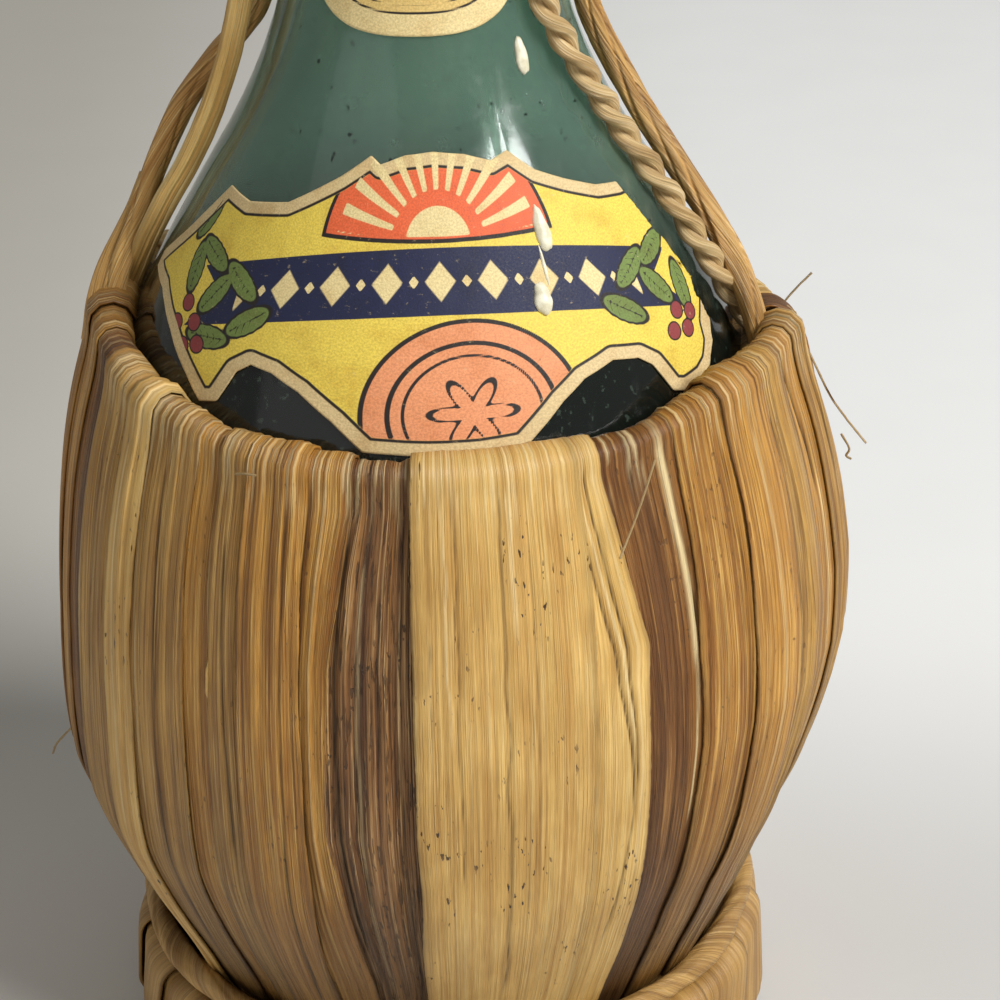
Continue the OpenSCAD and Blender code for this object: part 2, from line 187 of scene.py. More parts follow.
def makeStrawGrain():
    tree, given, made = newGroup(
        "strawGrain",
        {"Base": (0.5, 0.4, 0.2, 1), "Shade": (0.3, 0.2, 0.1, 1), "Light": (0.8, 0.7, 0.5, 1),
         "Bands": 0.6, "Streaks": 0.5, "Specks": 0.3, "Cracks": 0.0, "Hairs": 1.0},
        {"Color": "NodeSocketColor", "Roughness": "NodeSocketFloat", "Height": "NodeSocketFloat"})
    spot = addNode(tree, "ShaderNodeUVMap", uv_map="UVMap").outputs[0]
    bands = speckle(tree, spot, (0.42, 0.006, 1), 2)
    fibres = speckle(tree, spot, (2.1, 0.022, 1), 4, 0.62, (3, 1, 0))
    hairs = speckle(tree, spot, (8.5, 0.13, 1), 3, 0.6, (7, 2, 0))
    blots = speckle(tree, spot, (0.16, 0.05, 1), 3, 0.6, (11, 5, 0))
    grit = speckle(tree, spot, (1.5, 0.5, 1), 2, 0.5, (17, 9, 0))
    patches = speckle(tree, spot, (0.12, 0.05, 1), 1, 0.5, (41, 3, 0))
    splits = speckle(tree, spot, (1.9, 0.11, 1), 3, 0.7, (23, 4, 0))
    veins = speckle(tree, spot, (1.5, 0.005, 1), 2, 0.5, (29, 6, 0))
    glints = speckle(tree, spot, (3.4, 0.03, 1), 2, 0.5, (37, 8, 0))

    shaded = tint(tree, sums(tree, "MULTIPLY", fade(tree, bands, 0.36, 0.68), given["Bands"]),
                  given["Base"], given["Shade"])
    lit = tint(tree, sums(tree, "MULTIPLY", fade(tree, fibres, 0.5, 0.7), given["Streaks"]),
               shaded, given["Light"])
    sunk = tint(tree, sums(tree, "MULTIPLY", fade(tree, fibres, 0.49, 0.3), given["Streaks"]),
                lit, given["Shade"])
    hairy = tint(tree, given["Hairs"], sunk, tint(tree, fade(tree, hairs, 0.28, 0.72), (0.66, 0.62, 0.55, 1),
                                                  (1.18, 1.16, 1.12, 1)), "MULTIPLY")
    stain = tint(tree, fade(tree, blots, 0.35, 0.7), (0.78, 0.72, 0.62, 1), (1, 1, 1, 1))
    stained = timesColor(tree, hairy, stain)
    groove = sums(tree, "MULTIPLY", bellMask(tree, veins, 0.5, 0.016), given["Streaks"])
    grooved = tint(tree, sums(tree, "MULTIPLY", groove, 0.75), stained,
                   timesColor(tree, stained, (0.34, 0.26, 0.17, 1)))
    bright = sums(tree, "MULTIPLY", fade(tree, glints, 0.62, 0.70), given["Streaks"])
    glinting = tint(tree, sums(tree, "MULTIPLY", bright, 0.7), grooved, given["Light"])
    clustered = sums(tree, "MULTIPLY", fade(tree, grit, 0.64, 0.69), fade(tree, patches, 0.52, 0.60))
    pits = sums(tree, "MULTIPLY", clustered, given["Specks"])
    split = sums(tree, "MULTIPLY", fade(tree, splits, 0.57, 0.62), given["Cracks"])
    pitted = tint(tree, sums(tree, "MAXIMUM", pits, split), glinting, strawPit)
    # painted shade: the brown mark darkens one side of some strips
    browned = tint(tree, mark(tree, "brown"), pitted, timesColor(tree, pitted, (0.42, 0.32, 0.22, 1)))
    # painted highlight: the pale mark lightens crease edges and fibres at the rim
    highlit = tint(tree, mark(tree, "paintedHighlight"), browned, strawPaintedHighlight)
    # painted shade: the dark mark darkens strip edges, creases, the rim fold and the low parts of the straw
    paintedShade = tint(tree, mark(tree, "paintedShade"), highlit, strawPaintedShade)
    tree.links.new(paintedShade, made["Color"])
    tree.links.new(fade(tree, fibres, 0.3, 0.75, 0.54, 0.30), made["Roughness"])
    raised = sums(tree, "ADD", sums(tree, "MULTIPLY", fibres, 1.5), sums(tree, "MULTIPLY", hairs, 0.35))
    ribbed = sums(tree, "SUBTRACT", raised, sums(tree, "MULTIPLY", groove, 0.45))
    cut = sums(tree, "SUBTRACT", ribbed, sums(tree, "MULTIPLY", sums(tree, "MAXIMUM", pits, split), 0.7))
    tree.links.new(cut, made["Height"])
    return tree


strawGrain = makeStrawGrain()
plainStraw = {"bands": 0.8, "streaks": 0.75, "specks": 0.5, "cracks": 0.0, "bump": 0.7, "hairs": 0.55}
strawLooks = {
    "straw_pale": {"base": seen(230, 190, 112), "shade": seen(196, 148, 76), "light": seen(252, 228, 162),
                   "bands": 0.6, "streaks": 0.45, "specks": 1.0, "bump": 0.6, "hairs": 0.4},
    "straw_gold": {"base": seen(216, 160, 74), "shade": seen(150, 98, 36), "light": seen(246, 204, 120),
                   "bands": 0.9, "bump": 0.9},
    "straw_tan": {"base": seen(206, 160, 84), "shade": seen(148, 104, 46), "light": seen(240, 202, 128),
                  "bands": 0.85, "specks": 0.4, "bump": 0.85},
    "straw_brown": {"base": seen(150, 100, 42), "shade": seen(94, 56, 20), "light": seen(200, 150, 82),
                    "bands": 0.9, "streaks": 0.8, "cracks": 0.15, "bump": 0.9},
    "straw_dark": {"base": seen(172, 124, 70), "shade": seen(100, 62, 30), "light": seen(226, 190, 138),
                   "bands": 0.9, "streaks": 0.95, "specks": 0.8, "cracks": 0.7, "bump": 1.0, "hairs": 0.6},
    "foot_straw": {"base": seen(200, 160, 94), "shade": seen(150, 110, 54), "light": seen(226, 192, 128),
                   "streaks": 0.5, "specks": 0.15, "bump": 0.55, "hairs": 0.5},
    "stay_pale": {"base": seen(232, 204, 150), "shade": seen(176, 138, 84), "light": seen(250, 232, 190),
                  "bands": 0.6, "streaks": 0.7, "specks": 0.1},
    "stay_straw": {"base": seen(248, 212, 134), "shade": seen(204, 156, 80), "light": seen(254, 238, 180),
                   "streaks": 0.7, "specks": 0.1},
    "stay_tan": {"base": seen(212, 168, 98), "shade": seen(142, 96, 44), "light": seen(246, 214, 150),
                 "streaks": 0.8, "specks": 0.15},
    "stay_brown": {"base": seen(240, 194, 118), "shade": seen(186, 134, 66), "light": seen(254, 228, 164),
                   "streaks": 0.8, "specks": 0.2},
}


def strawMaterial(slot):
    look = {**plainStraw, **strawLooks[slot]}
    made, tree, shader = newMaterial(slot)
    grain = useGroup(tree, strawGrain, **{name.title(): look[name] for name in look if name != "bump"})
    tree.links.new(grain["Color"], shader.inputs["Base Color"])
    tree.links.new(grain["Roughness"], shader.inputs["Roughness"])
    addBump(tree, shader, grain["Height"], look["bump"], strawRelief)
    return made


straw = {slot: strawMaterial(slot) for slot in strawLooks}
print("straw materials made")


# Tools for meshes
def deselectAll():
    if bpy.context.object and bpy.context.object.mode != "OBJECT":
        bpy.ops.object.mode_set(mode="OBJECT")
    bpy.ops.object.select_all(action="DESELECT")


def addGrid(name, columns, rows):  # a flat sheet from -1 to 1 each way, ready to be shaped
    deselectAll()
    bpy.ops.mesh.primitive_grid_add(x_subdivisions=columns, y_subdivisions=rows, size=2)
    bpy.context.object.name = name
    return bpy.context.object


def shapeGrid(piece, place, spread, marks=None):
    mesh = piece.data
    spots = [(v.co.x, v.co.y) for v in mesh.vertices]
    flat = [spread(x, y) for x, y in spots]
    for loop, unwrapped in zip(mesh.loops, mesh.uv_layers.active.data):
        unwrapped.uv = flat[loop.vertex_index]
    for name, value in (marks or {}).items():
        layer = mesh.attributes.new(name, "FLOAT", "POINT")
        layer.data.foreach_set("value", [value(x, y) for x, y in spots])
    for vertex, (x, y) in zip(mesh.vertices, spots):
        vertex.co = Vector(place(x, y)) * mm


def closeSeams(piece, gap=0.002):
    deselectAll()
    bpy.context.view_layer.objects.active = piece
    bpy.ops.object.mode_set(mode="EDIT")
    bpy.ops.mesh.select_all(action="SELECT")
    bpy.ops.mesh.remove_doubles(threshold=gap * mm)
    bpy.ops.object.mode_set(mode="OBJECT")


def applyModifier(piece, kind, **settings):
    deselectAll()
    bpy.context.view_layer.objects.active = piece
    modifier = piece.modifiers.new(kind.lower(), kind)
    for name, value in settings.items():
        setattr(modifier, name, value)
    bpy.ops.object.modifier_apply(modifier=modifier.name)


def finishPiece(piece, material, nodes=(), body="root"):
    piece.data.materials.clear()
    piece.data.materials.append(material)
    piece.data.polygons.foreach_set("use_smooth", [True] * len(piece.data.polygons))
    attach(piece, body)
    if nodes:
        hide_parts(*nodes)
    return piece


def wander(*spot):  # smooth noise from -1 to 1
    return noise.noise(Vector(spot))


def bell(distance, width):
    return math.exp(-((distance / width) ** 2))


def smooth(low, high, value):
    share = min(max((value - low) / (high - low), 0), 1)
    return share * share * (3 - 2 * share)


def curvePoint(a, b, c, d, t):
    return b + 0.5 * t * ((c - a) + t * ((2 * a - 5 * b + 4 * c - d) + t * (3 * b - a - 3 * c + d)))


def curveThrough(knots, steps):  # the same smooth curve through knots as the solids follow
    knots = [Vector(knot) for knot in knots]
    last = len(knots) - 1
    made = []
    for i in range(last):
        for s in range(steps):
            made.append(curvePoint(knots[max(i - 1, 0)], knots[i], knots[i + 1],
                                   knots[min(i + 2, last)], s / steps))
    return made + [knots[last]]


def evenly(points, count):  # the same line with its points an equal way apart, and its length
    reach = [0.0]
    for a, b in zip(points, points[1:]):
        reach.append(reach[-1] + (b - a).length)
    made, k = [], 0
    for i in range(count + 1):
        way = reach[-1] * i / count
        while k < len(points) - 2 and reach[k + 1] < way:
            k += 1
        share = (way - reach[k]) / max(reach[k + 1] - reach[k], 1e-9)
        made.append(points[k].lerp(points[k + 1], min(max(share, 0), 1)))
    return made, reach[-1]


def roundPoint(degrees, radius, height):  # degrees round from the front
    turn = math.radians(degrees)
    return Vector((radius * math.sin(turn), -radius * math.cos(turn), height))


def along(knots, x, eased=False):  # straight or eased stretches between knots
    for (a, low), (b, high) in zip(knots, knots[1:]):
        if x <= b:
            return low + (high - low) * (smooth(a, b, x) if eased else max(x - a, 0) / (b - a))
    return knots[-1][1]


def outwards(line):  # away from the bottle's axis, at each point of a line
    return [Vector((spot.x, spot.y, 0)).normalized() for spot in line]


def lineFrames(line, outward):  # each point of a line with the two directions square to it
    frames = []
    for i, spot in enumerate(line):
        ahead = (line[min(i + 1, len(line) - 1)] - line[max(i - 1, 0)]).normalized()
        out = (outward[i] - outward[i].dot(ahead) * ahead).normalized()
        frames.append((spot, out, ahead.cross(out)))
    return frames


# The glass as the solid has it: radius against height outside, and the same inside
def measureGlass():
    outer, inner = {}, {}
    for vertex in frame["nodes"]["bottle_glass"].data.vertices:
        radius = math.hypot(vertex.co.x, vertex.co.y) / mm
        height = round(vertex.co.z / mm, 2)
        if vertex.normal.x * vertex.co.x + vertex.normal.y * vertex.co.y > 1e-5:
            outer[height] = max(outer.get(height, 0), radius)
        else:
            inner[height] = min(inner.get(height, 99), radius)
    lowest, lowestInside = sorted(inner)[:2]
    inner.pop(lowest)
    outside = [(0.0, lowest)] + [(outer[h], h) for h in sorted(outer)]
    inside = [(inner[h], h) for h in sorted(inner)]
    return outside, inside


glassOutside, glassInside = measureGlass()
glassSide = [(height, radius) for radius, height in glassOutside if height > 80]


def glassRadius(height):
    return along(glassSide, height)


print("tools ready")


# Floor, light and world
room = {
    "size": 6.0,
    "pale": seen(238, 238, 236),
    # painted shade: dim darkens the floor to the left; near paints the front lighter at the left and darker at
    # the right, evening out the cast shadow and the lamp's falloff
    "dim": seen(184, 180, 170),
    "dimAt": (-0.16, 0.10),
    "near": (seen(236, 232, 222), seen(204, 203, 200)),
    "nearAt": (0.13, 0.0),
    "key": {"place": (1.3, -0.85, 1.5), "width": 1.1, "power": 52.0},
    "fill": {"place": (-0.9, -0.9, 0.8), "width": 1.2, "power": 1.2},
    "sky": (0.62, 0.62, 0.61, 1),
    "skyPower": 0.42,
}


def addFloor():
    floor = addGrid("floor", 2, 2)
    for vertex in floor.data.vertices:
        vertex.co = Vector((vertex.co.x, vertex.co.y, 0)) * room["size"] / 2
    made, tree, shader = newMaterial("floorPaper")
    spot = addNode(tree, "ShaderNodeTexCoord").outputs["Object"]
    parts = addNode(tree, "ShaderNodeSeparateXYZ", {"Vector": spot}).outputs
    # the floor's colour carries painted shade and painted light, set by place on the floor
    side = fade(tree, parts["X"], *room["dimAt"])
    ground = tint(tree, fade(tree, parts["Y"], *room["nearAt"]), tint(tree, side, room["dim"], room["pale"]),
                  tint(tree, side, *room["near"]))
    grain = speckle(tree, spot, (40, 40, 40), 3)
    tree.links.new(ground, shader.inputs["Base Color"])
    tree.links.new(fade(tree, grain, 0.3, 0.7, 0.75, 0.9), shader.inputs["Roughness"])
    floor.data.materials.append(made)


def addLamp(name, place, width, power):
    data = bpy.data.lights.new(name, "AREA")
    data.shape = "DISK"
    data.size = width
    data.energy = power
    lamp = bpy.data.objects.new(name, data)
    bpy.context.scene.collection.objects.link(lamp)
    towards = Vector((0, 0, 0.1)) - Vector(place)
    lamp.matrix_world = Matrix.Translation(place) @ towards.to_track_quat("-Z", "Y").to_matrix().to_4x4()


def addWorld():
    world = bpy.data.worlds.new("studio")
    world.use_nodes = True
    sky = world.node_tree.nodes["Background"]
    sky.inputs["Color"].default_value = room["sky"]
    sky.inputs["Strength"].default_value = room["skyPower"]
    bpy.context.scene.world = world


addFloor()
addLamp("key", **room["key"])
addLamp("fill", **room["fill"])
addWorld()
print("floor and light placed")


# Glass: the measured outline, spun in small steps, with a slightly wavy face and a mould seam
flask = {
    "steps": 240,
    "wave": 0.12,
    "seamAt": 24.5,
    "seamRise": 0.22,
    "seamWide": 0.9,
    "waved": (60, 276),
    "skin": 1.5,
    "color": (0.30, 0.47, 0.38, 1),
    "dust": seen(172, 200, 178),
    # deep is painted shade: the glass turns almost black-green low down, where the basket blocks the light
    # behind it
    "deep": (0.035, 0.05, 0.038, 1),
    "paintedShadeAt": (0.152, 0.132),
    "fleckAt": (0.165, 0.14),
    "spots": (0.02, 0.035, 0.03, 1),
    "clear": 0.86,
    "bend": 1.5,
}


def glassMaterial():
    made, tree, shader = newMaterial("glass")
    spot = addNode(tree, "ShaderNodeTexCoord").outputs["Object"]
    haze = speckle(tree, spot, (70, 70, 28), 5, 0.6)
    drops = speckle(tree, spot, (620, 620, 520), 2, 0.5, (3, 1, 7))
    dirt = speckle(tree, spot, (260, 260, 190), 4, 0.65, (9, 4, 2))
    dusty = tint(tree, fade(tree, haze, 0.40, 0.66, 0.0, 0.55), flask["color"], flask["dust"])
    up = addNode(tree, "ShaderNodeSeparateXYZ", {"Vector": spot}).outputs["Z"]
    flecks = speckle(tree, spot, (900, 900, 800), 2, 0.5, (7, 8, 1))
    # painted shade: darkest low on the flask, fading out between these two heights
    deep = tint(tree, fade(tree, up, *flask["paintedShadeAt"]), dusty, flask["deep"])
    low = sums(tree, "MULTIPLY", fade(tree, flecks, 0.64, 0.70), fade(tree, up, *flask["fleckAt"]))
    flecked = tint(tree, sums(tree, "MULTIPLY", low, 0.5), deep, flask["dust"])
    spotted = tint(tree, fade(tree, drops, 0.69, 0.74), flecked, flask["spots"])
    shader.inputs["Transmission Weight"].default_value = flask["clear"]
    shader.inputs["IOR"].default_value = flask["bend"]
    tree.links.new(spotted, shader.inputs["Base Color"])
    rough = sums(tree, "ADD", fade(tree, haze, 0.4, 0.7, 0.05, 0.16), fade(tree, dirt, 0.5, 0.75, 0.0, 0.22))
    tree.links.new(rough, shader.inputs["Roughness"])
    addBump(tree, shader, sums(tree, "ADD", dirt, sums(tree, "MULTIPLY", drops, 0.5)), 0.12, 0.1)
    return made


def makeGlass():
    ring = glassOutside + glassInside[::-1]
    deselectAll()
    bpy.ops.mesh.primitive_circle_add(vertices=len(ring), fill_type="NOTHING")
    piece = bpy.context.object
    piece.name = "bottleGlass"
    for vertex, (radius, height) in zip(piece.data.vertices, ring):
        vertex.co = Vector((radius, 0, height)) * mm
    bpy.ops.object.mode_set(mode="EDIT")
    bpy.ops.mesh.select_all(action="DESELECT")
    bpy.ops.object.mode_set(mode="OBJECT")
    for edge in piece.data.edges:
        edge.select = set(edge.vertices) == {0, len(ring) - 1}
    bpy.ops.object.mode_set(mode="EDIT")
    bpy.ops.mesh.select_mode(type="EDGE")
    bpy.ops.mesh.delete(type="EDGE")
    bpy.ops.mesh.select_all(action="SELECT")
    bpy.ops.mesh.spin(steps=flask["steps"], angle=2 * math.pi, center=(0, 0, 0), axis=(0, 0, 1))
    bpy.ops.mesh.select_all(action="SELECT")
    bpy.ops.mesh.remove_doubles(threshold=0.003 * mm)
    bpy.ops.mesh.normals_make_consistent(inside=False)
    bpy.ops.object.mode_set(mode="OBJECT")
    lowest, highest = flask["waved"]
    for vertex in piece.data.vertices:
        x, y, height = vertex.co / mm
        radius = math.hypot(x, y)
        if lowest < height < highest and radius > glassRadius(height) - flask["skin"]:
            past = math.degrees(math.atan2(x, -y)) - flask["seamAt"]
            seams = bell(past, flask["seamWide"]) + bell(abs(past + 180) % 360, flask["seamWide"])
            push = flask["wave"] * wander(x / 22, y / 22, height / 30) + flask["seamRise"] * seams
            vertex.co.x += push * mm * x / radius
            vertex.co.y += push * mm * y / radius
    return finishPiece(piece, glassMaterial(), ["bottle_glass"])


makeGlass()
print("glass spun")


# Cork: a round plug with lengthwise grain, pores and worn edges
plugOf = {
    "around": 96,
    "along": 90,
    "pore": 1.4,
    "poresFrom": 0.42,
    "edge": 1.1,
    "pale": seen(206, 166, 112),
    "brown": seen(158, 116, 72),
    "hole": seen(82, 50, 30),
}


def corkMaterial():
    made, tree, shader = newMaterial("cork")
    spot = addNode(tree, "ShaderNodeTexCoord").outputs["Object"]
    grain = speckle(tree, spot, (420, 420, 190), 4, 0.6)
    pores = speckle(tree, spot, (300, 300, 900), 2, 0.5, (5, 2, 8))
    holes = fade(tree, pores, 0.62, 0.68)
    body = tint(tree, fade(tree, grain, 0.35, 0.65), plugOf["brown"], plugOf["pale"])
    tree.links.new(tint(tree, holes, body, plugOf["hole"]), shader.inputs["Base Color"])
    tree.links.new(fade(tree, grain, 0.3, 0.7, 0.7, 0.9), shader.inputs["Roughness"])
    addBump(tree, shader, sums(tree, "SUBTRACT", grain, holes), 0.5, 0.3)
    return made


def makeCork():
    low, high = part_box("cork")
    radius = high.x / mm
    foot, top = low.z / mm, high.z / mm
    edge = plugOf["edge"]
    outline = curveThrough([(0, foot), (radius * 0.5, foot), (radius - edge, foot), (radius, foot + edge),
                            (radius, (foot + top) / 2), (radius, top - edge), (radius - edge, top),
                            (radius * 0.5, top), (0, top)], 10)
    outline, _ = evenly([Vector((x, 0, z)) for x, z in outline], plugOf["along"])
    piece = addGrid("corkPlug", plugOf["around"], plugOf["along"])

    def place(x, y):
        spot = outline[round((y + 1) / 2 * plugOf["along"])]
        here = roundPoint(180 * x, spot.x, spot.z)
        deep = max(wander(here.x * 0.9, here.y * 0.9, here.z * 0.5) - plugOf["poresFrom"], 0)
        pit = deep * plugOf["pore"]
        return here - Vector((here.x, here.y, 0)) * (pit / max(spot.x, 3))

    shapeGrid(piece, place, lambda x, y: (x * 29, y * 40))
    closeSeams(piece)
    return finishPiece(piece, corkMaterial(), ["cork"], body="cork")


makeCork()
print("cork made")


# Basket: straw strips that run from under the flask up its side and fold over the rim hoop
basket = {
    "inner": [(12.4, 9.4), (23, 11.4), (34.6, 16), (41.8, 20.4), (44.4, 24.2), (48.2, 33.1), (53, 44.4),
              (57, 57.3), (58.3, 72.4), (58.3, 86.5), (57, 101), (54.9, 112.5)],
    "layer": 0.7,
    "solid": 0.6,
    "leaf": 0.4,
    "foldGap": 0.1,
    "tuck": 7,
    "column": 0.32,
    "rows": 190,
    "belly": 60.5,
    "fewest": 14,
    "foldTurn": (-8, 4, 12),
    "rimFrom": 80,
    "rimTo": 124,
    "leanRight": [(30, 0), (47, -0.6), (58, 0.5), (70, 3), (78, 4.2), (90, 4.5), (100, 4), (118, 2.6),
                  (130, 2.4)],
    "leanLeft": [(30, 0), (44, -0.7), (56, -1.4), (68, -0.4), (80, 0.7), (100, 1.7), (120, 2.6), (130, 2.6)],
    "rimRise": [(-180, 0), (-135, 0.5), (-105, 3), (-75, 3), (-48, 1), (-22, -1), (8, -1.2), (30, -0.7),
                (55, 1.8), (76, 2.6), (86, -1), (104, -6), (140, -6), (165, -1), (180, 0)],
}
hoopLow, hoopHigh = (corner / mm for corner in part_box("rim_hoop"))
hoopR = (hoopHigh.z - hoopLow.z) / 2
hoopAt = Vector((hoopHigh.x - hoopR, hoopHigh.z - hoopR))


def basketLine():
    rimSlope = Vector((glassRadius(hoopAt.y + 1.4) - glassRadius(hoopAt.y - 4.6), 6)).normalized()
    outward = Vector((rimSlope.y, -rimSlope.x))
    fold = hoopR + basket["foldGap"]
    first, second, step = basket["foldTurn"]
    last = 180 + math.degrees(math.atan2(outward.y, outward.x))
    turn = [hoopAt + fold * Vector((math.cos(math.radians(a)), math.sin(math.radians(a))))
            for a in [first] + list(range(second, int(last), step)) + [last]]
    side = curveThrough(basket["inner"] + [tuple(turn[0])], 8)
    tucked = [turn[-1] - s * rimSlope for s in (2, 4, basket["tuck"])]
    line, length = evenly(side + turn[1:] + tucked, basket["rows"])
    square = []
    for i in range(len(line)):
        ahead = (line[min(i + 1, len(line) - 1)] - line[max(i - 1, 0)]).normalized()
        square.append(Vector((ahead.y, -ahead.x)))
    return line, square, length


stripLine, stripSquare, stripLength = basketLine()
rimRow = max(range(len(stripLine)), key=lambda i: stripLine[i].y)
rimReach = stripLength * rimRow / basket["rows"]


def rowAt(y):  # the row of the basket's line below this place on a leaf, and the share of the way to the next
    row = (y + 1) / 2 * basket["rows"]
    i = min(int(row), basket["rows"] - 1)
    return i, row - i


def leaned(spot):  # the real basket hangs loose at its right side and lies close at its left
    side = spot.x / max(math.hypot(spot.x, spot.y), 1)
    spot.x += along(basket["leanRight"], spot.z) * max(side, 0) ** 2
    spot.x += along(basket["leanLeft"], spot.z) * max(-side, 0) ** 2
    turn = math.degrees(math.atan2(spot.x, -spot.y))
    spot.z += along(basket["rimRise"], turn, eased=True) * smooth(basket["rimFrom"], basket["rimTo"], spot.z)
    return spot


def stripSpan(node):  # left edge, right edge and layer of a solid strip
    spots = [v.co / mm for v in frame["nodes"][node].data.vertices]
    middle = sum((Vector((p.x, p.y)).normalized() for p in spots), Vector((0, 0)))
    centre = math.degrees(math.atan2(middle.x, -middle.y))
    sides = [(math.degrees(math.atan2(p.x, -p.y)) - centre + 180) % 360 - 180 for p in spots]
    widest = max(math.hypot(p.x, p.y) for p in spots)
    layer = round((widest - max(r for r, z in basket["inner"]) - basket["solid"]) / basket["layer"])
    return centre + min(sides), centre + max(sides), layer


# Relief of a leaf's face, each ripple as (height, how often across, how often along, seed), and its painted
# shade
leafFace = {
    "swell": 0.22,
    "ribs": (1.3, 1.1, 0.012, 5.1),
    "fibres": (0.09, 2.6, 0.03, 2.3),
    "warp": (0.28, 1.4, 0.035, 7.7),
    "gather": (0.3, 0.5, 0.02, 9.1),
    "gatherAt": (48, 20),
    "rimLift": 0.45,
    "darkDepth": 0.45,
    "paleLineHeight": 0.15,
    "ribDepth": 0.18,
    "edgePaintedShade": 0.55,
    "rimPaintedShade": 0.08,
    "lowPaintedShade": {"straw_pale": 0.2},
    "otherLowPaintedShade": 0.72,
    "lowAt": (104, 30),
}


def makeStrip(node, special):
    left, right, layer = stripSpan(node)
    number = int(node[-2:])
    width = math.radians(right - left) * basket["belly"]
    columns = max(basket["fewest"], int(width / basket["column"]))
    piece = addGrid(f"strawStrip{node[-2:]}", columns, basket["rows"])
    ribs, ribDepth = special.get("ribs", 1.0), special.get("ribDepth", leafFace["ribDepth"])
    creases, lifts, lines = (special.get(kind, []) for kind in ("creases", "lifts", "lines"))
    rimLift = leafFace["rimLift"] * (1 + wander(number * 3.7, 1.3, 0))
    lowPaintedShade = leafFace["lowPaintedShade"].get(slotOf[node], leafFace["otherLowPaintedShade"])

    def drawn(x, y, dark):  # how strongly a long dark crease, painted shade, or a pale line, painted highlight, runs over this spot
        height = heightAt(y)
        most = 0.0
        for spots, wide, strength in lines:
            top, bottom = spots[0][0], spots[-1][0]
            if (strength > 0) == dark and bottom - 3 < height < top + 3:
                ends = smooth(bottom - 3, bottom + 3, height) * smooth(top + 3, top - 1, height)
                where = along([(-z, share) for z, share in spots], -height)
                where += 0.04 * wander(height * 0.12, number, spots[0][1] * 7)
                most = max(most, abs(strength) * ends * bell((x - where) * width / 2, wide))
        return most

    def heightAt(y):
        i, share = rowAt(y)
        return stripLine[i].y + (stripLine[i + 1].y - stripLine[i].y) * share

    def edgeShift(side, height):
        return along(special[side], height) if side in special else 0

    def ripple(kind, across, reach):
        high, often, slow, seed = leafFace[kind]
        return high * wander(across * often, reach * slow, number * seed)

    def face(x, reach):  # how far the leaf's outer face stands off its solid's
        across = x * width / 2
        stand = ribDepth * ripple("ribs", across * ribs, reach) + ripple("fibres", across, reach)
        gathered = smooth(*leafFace["gatherAt"], reach)
        stand += ripple("warp", x, reach) + gathered * ripple("gather", across, reach)
        stand = leafFace["swell"] * (1 - x * x) + (1 - abs(x) ** 5) * stand
        for where, drift, deep, wide in creases:
            spot = where * width / 2 + drift * wander(reach * 0.02, number, where * 4)
            stand += deep * bell(across - spot, wide)
        for side, low, high, lift in lifts:
            bump = smooth(low, (low + high) / 2, reach) * smooth(high, (low + high) / 2, reach)
            stand += lift * bump * smooth(0.2, 1, side * x)
        stand += rimLift * bell(reach - rimReach, 4)
        y = 2 * reach / stripLength - 1
        return stand - leafFace["darkDepth"] * drawn(x, y, True) + leafFace["paleLineHeight"] * drawn(x, y, False)

    def place(x, y):
        i, past = rowAt(y)
        spot = stripLine[i].lerp(stripLine[i + 1], past)
        square = stripSquare[i].lerp(stripSquare[i + 1], past).normalized()
        reach = stripLength * (y + 1) / 2
        spot = spot + square * (layer * basket["layer"] + basket["solid"] + face(x, reach))
        fray = 0.5 * wander(reach * 0.06, number, x * 9) + 0.12 * wander(reach * 0.9, number * 3, x * 5)
        first, last = left + edgeShift("left", spot.y), right + edgeShift("right", spot.y)
        angle = first + (last - first) * (x + 1) / 2 + abs(x) ** 3 * math.degrees(fray / 60)
        return leaned(roundPoint(angle, spot.x, spot.y))

    def spread(x, y):
        return x * width / 2 + number * 37.3, (y + 1) / 2 * stripLength + number * 11.7

    # painted shade: darker at the strip's edges where strips lap, low on the basket, at the rim fold and along
    # dark creases
    def paintedShade(x, y):
        reach = stripLength * (y + 1) / 2
        edge = leafFace["edgePaintedShade"] * smooth(0.86, 1.0, abs(x)) * (0.6 + 0.4 * wander(reach * 0.2, number, 3))
        low = lowPaintedShade * smooth(*leafFace["lowAt"], reach)
        rim = leafFace["rimPaintedShade"] * bell(reach - rimReach, 3)
        return min(edge + low + rim + drawn(x, y, True), 1)

    # painted shade: darker towards one edge of the strip
    def brown(x, y):
        start, end, most = special.get("brown", (0, 1, 0))
        return most * smooth(start, end, x)

    # painted highlight: pale lines along crease edges and pale fibres just below the top of the rim fold
    def paintedHighlight(x, y):
        reach = stripLength * (y + 1) / 2
        fibre = smooth(0.12, 0.4, wander(x * width * 1.6, reach * 0.09, number * 4.4))
        return min(drawn(x, y, False) + 0.6 * bell(reach - rimReach + 1.5, 5) * fibre, 1)

    shapeGrid(piece, place, spread, {"paintedShade": paintedShade, "brown": brown, "paintedHighlight": paintedHighlight})
    applyModifier(piece, "SOLIDIFY", thickness=basket["leaf"] * mm, offset=-1)
    return finishPiece(piece, straw[slotOf[node]], [node])


